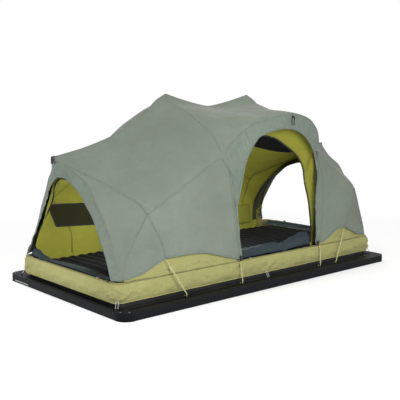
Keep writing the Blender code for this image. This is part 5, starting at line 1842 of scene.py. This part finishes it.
class TENT_OT_flaps(bpy.types.Operator):
    """Bundles the lowered slate door halves over the edge of the mattress"""

    bl_idname = "tent.flaps"
    bl_label = "Door flaps"

    def execute(self, context):
        mat = finish_of("slate_canvas", woven, cloth().slate, sheen=0.04, crinkle=0.9)

        def near(u, v):
            x = NEAR_FLAP_X + NEAR_FLAP * u
            y = NEAR_FLAP_Y + NEAR_FLAP_WIDTH * v + 0.016 * v * math.sin(5 * u)
            gather = 1 - 0.45 * math.exp(-(((u - 0.60) / 0.045) ** 2))
            puff = gather * (1.25 + 0.55 * ease(u - 0.62, 0.30))
            return Vector((x, y, self.lie(y, v))), puff

        self.flap("near", bundled_rows(near, 126, 30, 1.7), NEAR_FLAP, mat)
        for name, sx in (("left", -1), ("right", 1)):

            def end(u, v, sx=sx):
                y = END_FLAP_Y + END_FLAP * u
                x = END_FLAP_X - (END_FLAP_WIDTHS[sx] + 0.030 * math.sin(math.pi * u)) * v
                heap = 1.0 if sx < 0 else 0.0
                puff = 0.16 + heap * (0.22 * ease(0.2 - u, 0.2) + ease(u - 0.82, 0.17))
                return Vector((sx * x, y, self.lie(y, v))), puff

            self.flap(name, bundled_rows(end, 130, 30, 4.1 + sx), END_FLAP, mat)
        return {"FINISHED"}

    def lie(self, y, v):
        """The foot of the bundle: on the rim at its outer edge, on the mattress further in."""
        return flap_rest(y) + 0.0015 + 0.018 * (1 - ease(v, 0.4))

    def flap(self, name, grid, length, mat):
        bm = bmesh.new()
        grid_sheet(bm, grid, length, FLAP_DEPTH)
        flap = as_piece("flap_cloth_" + name, bm, mat, thickness=0.0022, offset=1)
        piping = finish_of("flap_piping", woven, (0.33, 0.35, 0.28), crinkle=0.2)
        trim = bmesh.new()
        tube(trim, grid[-1], 0.0020, 8)
        edge = as_piece("flap_piping_" + name, trim, piping, angle=60)
        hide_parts("sill_flap_" + name)
        for obj in (flap, edge):
            sink(obj, FLAP_REST)


# Fittings


def lathe(bm, profile, centre, axis, segments=24):
    """Spins a profile of places along the axis and radii into a turned solid."""
    turn = Vector(axis).to_track_quat("Z", "X").to_matrix().to_4x4()
    turn = Matrix.Translation(centre) @ turn
    before = len(bm.verts)
    verts = [bm.verts.new((radius, 0, along)) for along, radius in profile]
    edges = [bm.edges.new(pair) for pair in zip(verts, verts[1:])]
    bmesh.ops.spin(
        bm, geom=verts + edges, cent=(0, 0, 0), axis=(0, 0, 1), angle=2 * math.pi,
        steps=segments, use_merge=True,
    )
    bmesh.ops.transform(bm, matrix=turn, verts=bm.verts[before:])


class TENT_OT_platform(bpy.types.Operator):
    """Finishes the rails, corners, deck and hoops, and adds bolts and strips"""

    bl_idname = "tent.platform"
    bl_label = "Platform"

    def execute(self, context):
        settings = context.scene.tent_platform
        metal = finish_of("rail_powder_coat", powder_coat, settings.metal)
        corner = finish_of("corner_casting", powder_coat, tinted(settings.metal, 1.15), 0.52)
        board = finish_of("deck_board", sealed_board, settings.board)
        pole = finish_of("hoop_anodised", anodised, (0.035, 0.036, 0.038))
        paint(["rail_near", "rail_far", "rail_left", "rail_right", "base_frame"], metal)
        paint([f"slat_{i}" for i in range(1, 6)], metal)
        paint([f"corner_{a}_{b}" for a in ("near", "far") for b in ("left", "right")], corner)
        paint(["deck_panel", "base_board"], board)
        paint([f"hoop_{a}_{b}" for a in ("main", "end") for b in ("left", "right")], pole)
        self.bolts(settings.bolt_radius)
        self.inserts()
        self.strip(settings.strip)
        return {"FINISHED"}

    def bolts(self, radius):
        """Domed socket bolts in the corner castings."""
        bm = bmesh.new()
        top = RAIL_HEIGHT - 0.001
        profile = [
            (-0.001, 0.0), (-0.001, radius), (0.0012, radius), (0.0024, radius * 0.82),
            (0.0030, radius * 0.5), (0.0012, radius * 0.42), (0.0012, 0.0),
        ]
        for sx, sy in CORNERS:
            for dx, dy in (BOLT_INSETS, reversed(BOLT_INSETS)):
                place = (sx * (HALF_LENGTH - dx), sy * (HALF_WIDTH - dy), top)
                lathe(bm, profile, place, (0, 0, 1))
        weld(bm)
        mat = finish_of("bolt_steel", bare_steel, (0.20, 0.20, 0.21))
        as_piece("platform_bolts", bm, mat, angle=30)

    def inserts(self):
        """Rubber strips in the rails' grooves."""
        bm = bmesh.new()
        z = RAIL_HEIGHT - GROOVE_DEPTH + 0.0001
        for inset in RAIL_GROOVES:
            half = GROOVE_WIDTH / 2 - 0.0008
            reach_x, reach_y = HALF_LENGTH - RAIL_WIDTH - 0.001, HALF_WIDTH - RAIL_WIDTH - 0.001
            for sign in (-1, 1):
                y, x = sign * (HALF_WIDTH - inset), sign * (HALF_LENGTH - inset)
                for size, middle in (
                    ((2 * reach_x, 2 * half), (0, y)), ((2 * half, 2 * reach_y), (x, 0)),
                ):
                    place = Matrix.Translation((*middle, z + 0.0010))
                    add_box(bm, (*size, 0.0020), place)
        mat = finish_of("groove_rubber", moulded, (0.006, 0.006, 0.0065), 0.75)
        as_piece("groove_strips", bm, mat, angle=30)

    def strip(self, colour):
        """A plain pale strip on the outer face of the left rail."""
        bm = bmesh.new()
        place = Matrix.Translation((-HALF_LENGTH - 0.0003, *STRIP_PLACE))
        add_box(bm, (0.0008, *STRIP_SIZE), place, 0.0003, 2)
        mat = finish_of("pale_strip", moulded, tuple(colour), 0.55)
        as_piece("rail_strip", bm, mat, angle=30)


class TENT_OT_fittings(bpy.types.Operator):
    """Finishes the links, clip and zips, and adds webbing, toggles and clasps"""

    bl_idname = "tent.fittings"
    bl_label = "Fittings"

    def execute(self, context):
        steel = finish_of("link_steel", bare_steel, (0.62, 0.62, 0.61))
        coil = finish_of("sill_zip", coil_zip, cloth().tape)
        web = finish_of(
            "black_webbing", sewn_tape, cloth().tape, (0.06, 0.06, 0.06), (0.003, 0.017), 0.0016
        )
        plastic = finish_of("toggle_plastic", moulded, (0.012, 0.012, 0.013), 0.45)
        sides = [f"{a}_{b}" for a in ("near", "far") for b in ("left", "middle", "right")]
        paint(["tie_link_" + side for side in sides], steel)
        paint(["hood_clip"], finish_of("clip_steel", bare_steel, (0.05, 0.05, 0.05)))
        paint([f"zip_slider_{s}" for s in ("left", "right", "near")], steel)
        paint([f"zip_track_{s}" for s in ("left", "right", "near")], coil)
        self.end_tabs(web)
        self.clip_tab(web)
        self.toggles(plastic)
        self.clasps(plastic)
        return {"FINISHED"}

    def end_tabs(self, mat):
        """Webbing tabs over the tops of the end arches."""
        for name, sx in (("left", -1), ("right", 1)):
            top = end_top(sx)
            face = abs(top.x) + 0.0016
            points = [
                (abs(top.x) - 0.030, top.z + 0.0050), (abs(top.x) - 0.012, top.z + 0.0046),
                (face - 0.0030, top.z + 0.0030), (face, top.z - 0.0020),
                (face + 0.0006, top.z - 0.018), (face + 0.0004, top.z - 0.038),
            ]
            line = smooth_path([(sx * x, 0, z) for x, z in points], 22)
            grid = []
            for k in range(7):
                y = (k / 6 - 0.5) * TAB_WIDTH
                grid.append([p + Vector((0, y, 0)) for p in line])
            bm = bmesh.new()
            grid_sheet(bm, grid, path_length(line), TAB_WIDTH)
            tab = as_piece("end_webbing_" + name, bm, mat, thickness=0.0018, folds=True)
            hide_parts("end_tab_" + name)

    def clip_tab(self, mat):
        """The loop of webbing that carries the hood's clip."""
        middle = Vector((CLIP_X, -(TUB_Y + HOOD_OUTSET + CLIP_GAP), CLIP_Z))

        def place(k, i):
            angle = 2 * math.pi * i / 24
            lean = (0.0042 * math.cos(angle), 0.0050 * math.sin(angle) - 0.002)
            return middle + Vector(((k / 4 - 0.5) * CLIP_WIDTH, *lean))

        grid = grid_of(4, 24, place)
        bm = bmesh.new()
        grid_sheet(bm, grid, path_length(grid[0]), CLIP_WIDTH)
        weld(bm)
        as_piece("clip_webbing", bm, mat, thickness=0.0012, folds=True)

    def clasps(self, mat):
        """Side-squeeze clasps at the feet of the near door."""
        bm = bmesh.new()
        for row, side in ((DOOR_EDGE[0], -1), (DOOR_EDGE[-1], 1)):
            place = door_point(row) + Vector((0.018 * side, -0.0100, 0.002))
            turn = Matrix.Rotation(0.05 * side, 4, "Y")
            for size, lift in (((0.020, 0.006, 0.015), 0.010), ((0.017, 0.007, 0.014), -0.006)):
                spot = Matrix.Translation(place + Vector((0, 0, lift)))
                add_box(bm, size, spot @ turn, 0.0014)
        as_piece("door_clasps", bm, mat, angle=35, folds=True)

    def toggles(self, mat):
        """Barrel toggles on the tub's rim, for tying the doors up."""
        places = [(x, y) for x in (-RIM_X, RIM_X) for y in TOGGLE_ROWS]
        bm = bmesh.new()
        profile = [
            (-0.013, 0.0), (-0.013, 0.0026), (-0.011, 0.0036), (-0.004, 0.0042), (0.0, 0.0034),
            (0.004, 0.0042), (0.011, 0.0036), (0.013, 0.0026), (0.013, 0.0),
        ]
        for x, y in places:
            lathe(bm, profile, (x + math.copysign(0.008, x), y, TUB_TOP + 0.0046), (0.3, 1, 0), 16)
        weld(bm)
        as_piece("rim_toggles", bm, mat, angle=35)


# Panel and registration


STEPS = (
    "stage", "guy_lines", "platform", "tub", "mattress", "inner_tent", "fly", "flaps", "fittings",
)


class TENT_PT_parts(bpy.types.Panel):
    """Lists the steps of the tent"""

    bl_label = "Roof Top Tent"
    bl_idname = "TENT_PT_parts"
    bl_space_type = "VIEW_3D"
    bl_region_type = "UI"
    bl_category = "Tent"

    def draw(self, context):
        for name in STEPS:
            self.layout.operator("tent." + name)
        for group in ("tent_cloth", "tent_platform", "tent_tub"):
            settings = getattr(context.scene, group)
            box = self.layout.box()
            for prop in settings.bl_rna.properties:
                if prop.identifier not in ("rna_type", "name"):
                    box.prop(settings, prop.identifier)


CLASSES = (
    TentCloth, TentPlatform, TentTub, TENT_OT_stage, TENT_OT_guy_lines, TENT_OT_platform,
    TENT_OT_tub, TENT_OT_mattress, TENT_OT_inner_tent, TENT_OT_fly, TENT_OT_flaps,
    TENT_OT_fittings, TENT_PT_parts,
)


def register():
    for cls in CLASSES:
        bpy.utils.register_class(cls)
    bpy.types.Scene.tent_cloth = PointerProperty(type=TentCloth)
    bpy.types.Scene.tent_platform = PointerProperty(type=TentPlatform)
    bpy.types.Scene.tent_tub = PointerProperty(type=TentTub)


def unregister():
    del bpy.types.Scene.tent_tub
    del bpy.types.Scene.tent_platform
    del bpy.types.Scene.tent_cloth
    for cls in reversed(CLASSES):
        bpy.utils.unregister_class(cls)


def main():
    register()
    for name in STEPS:
        getattr(bpy.ops.tent, name)()


if __name__ == "__main__":
    main()
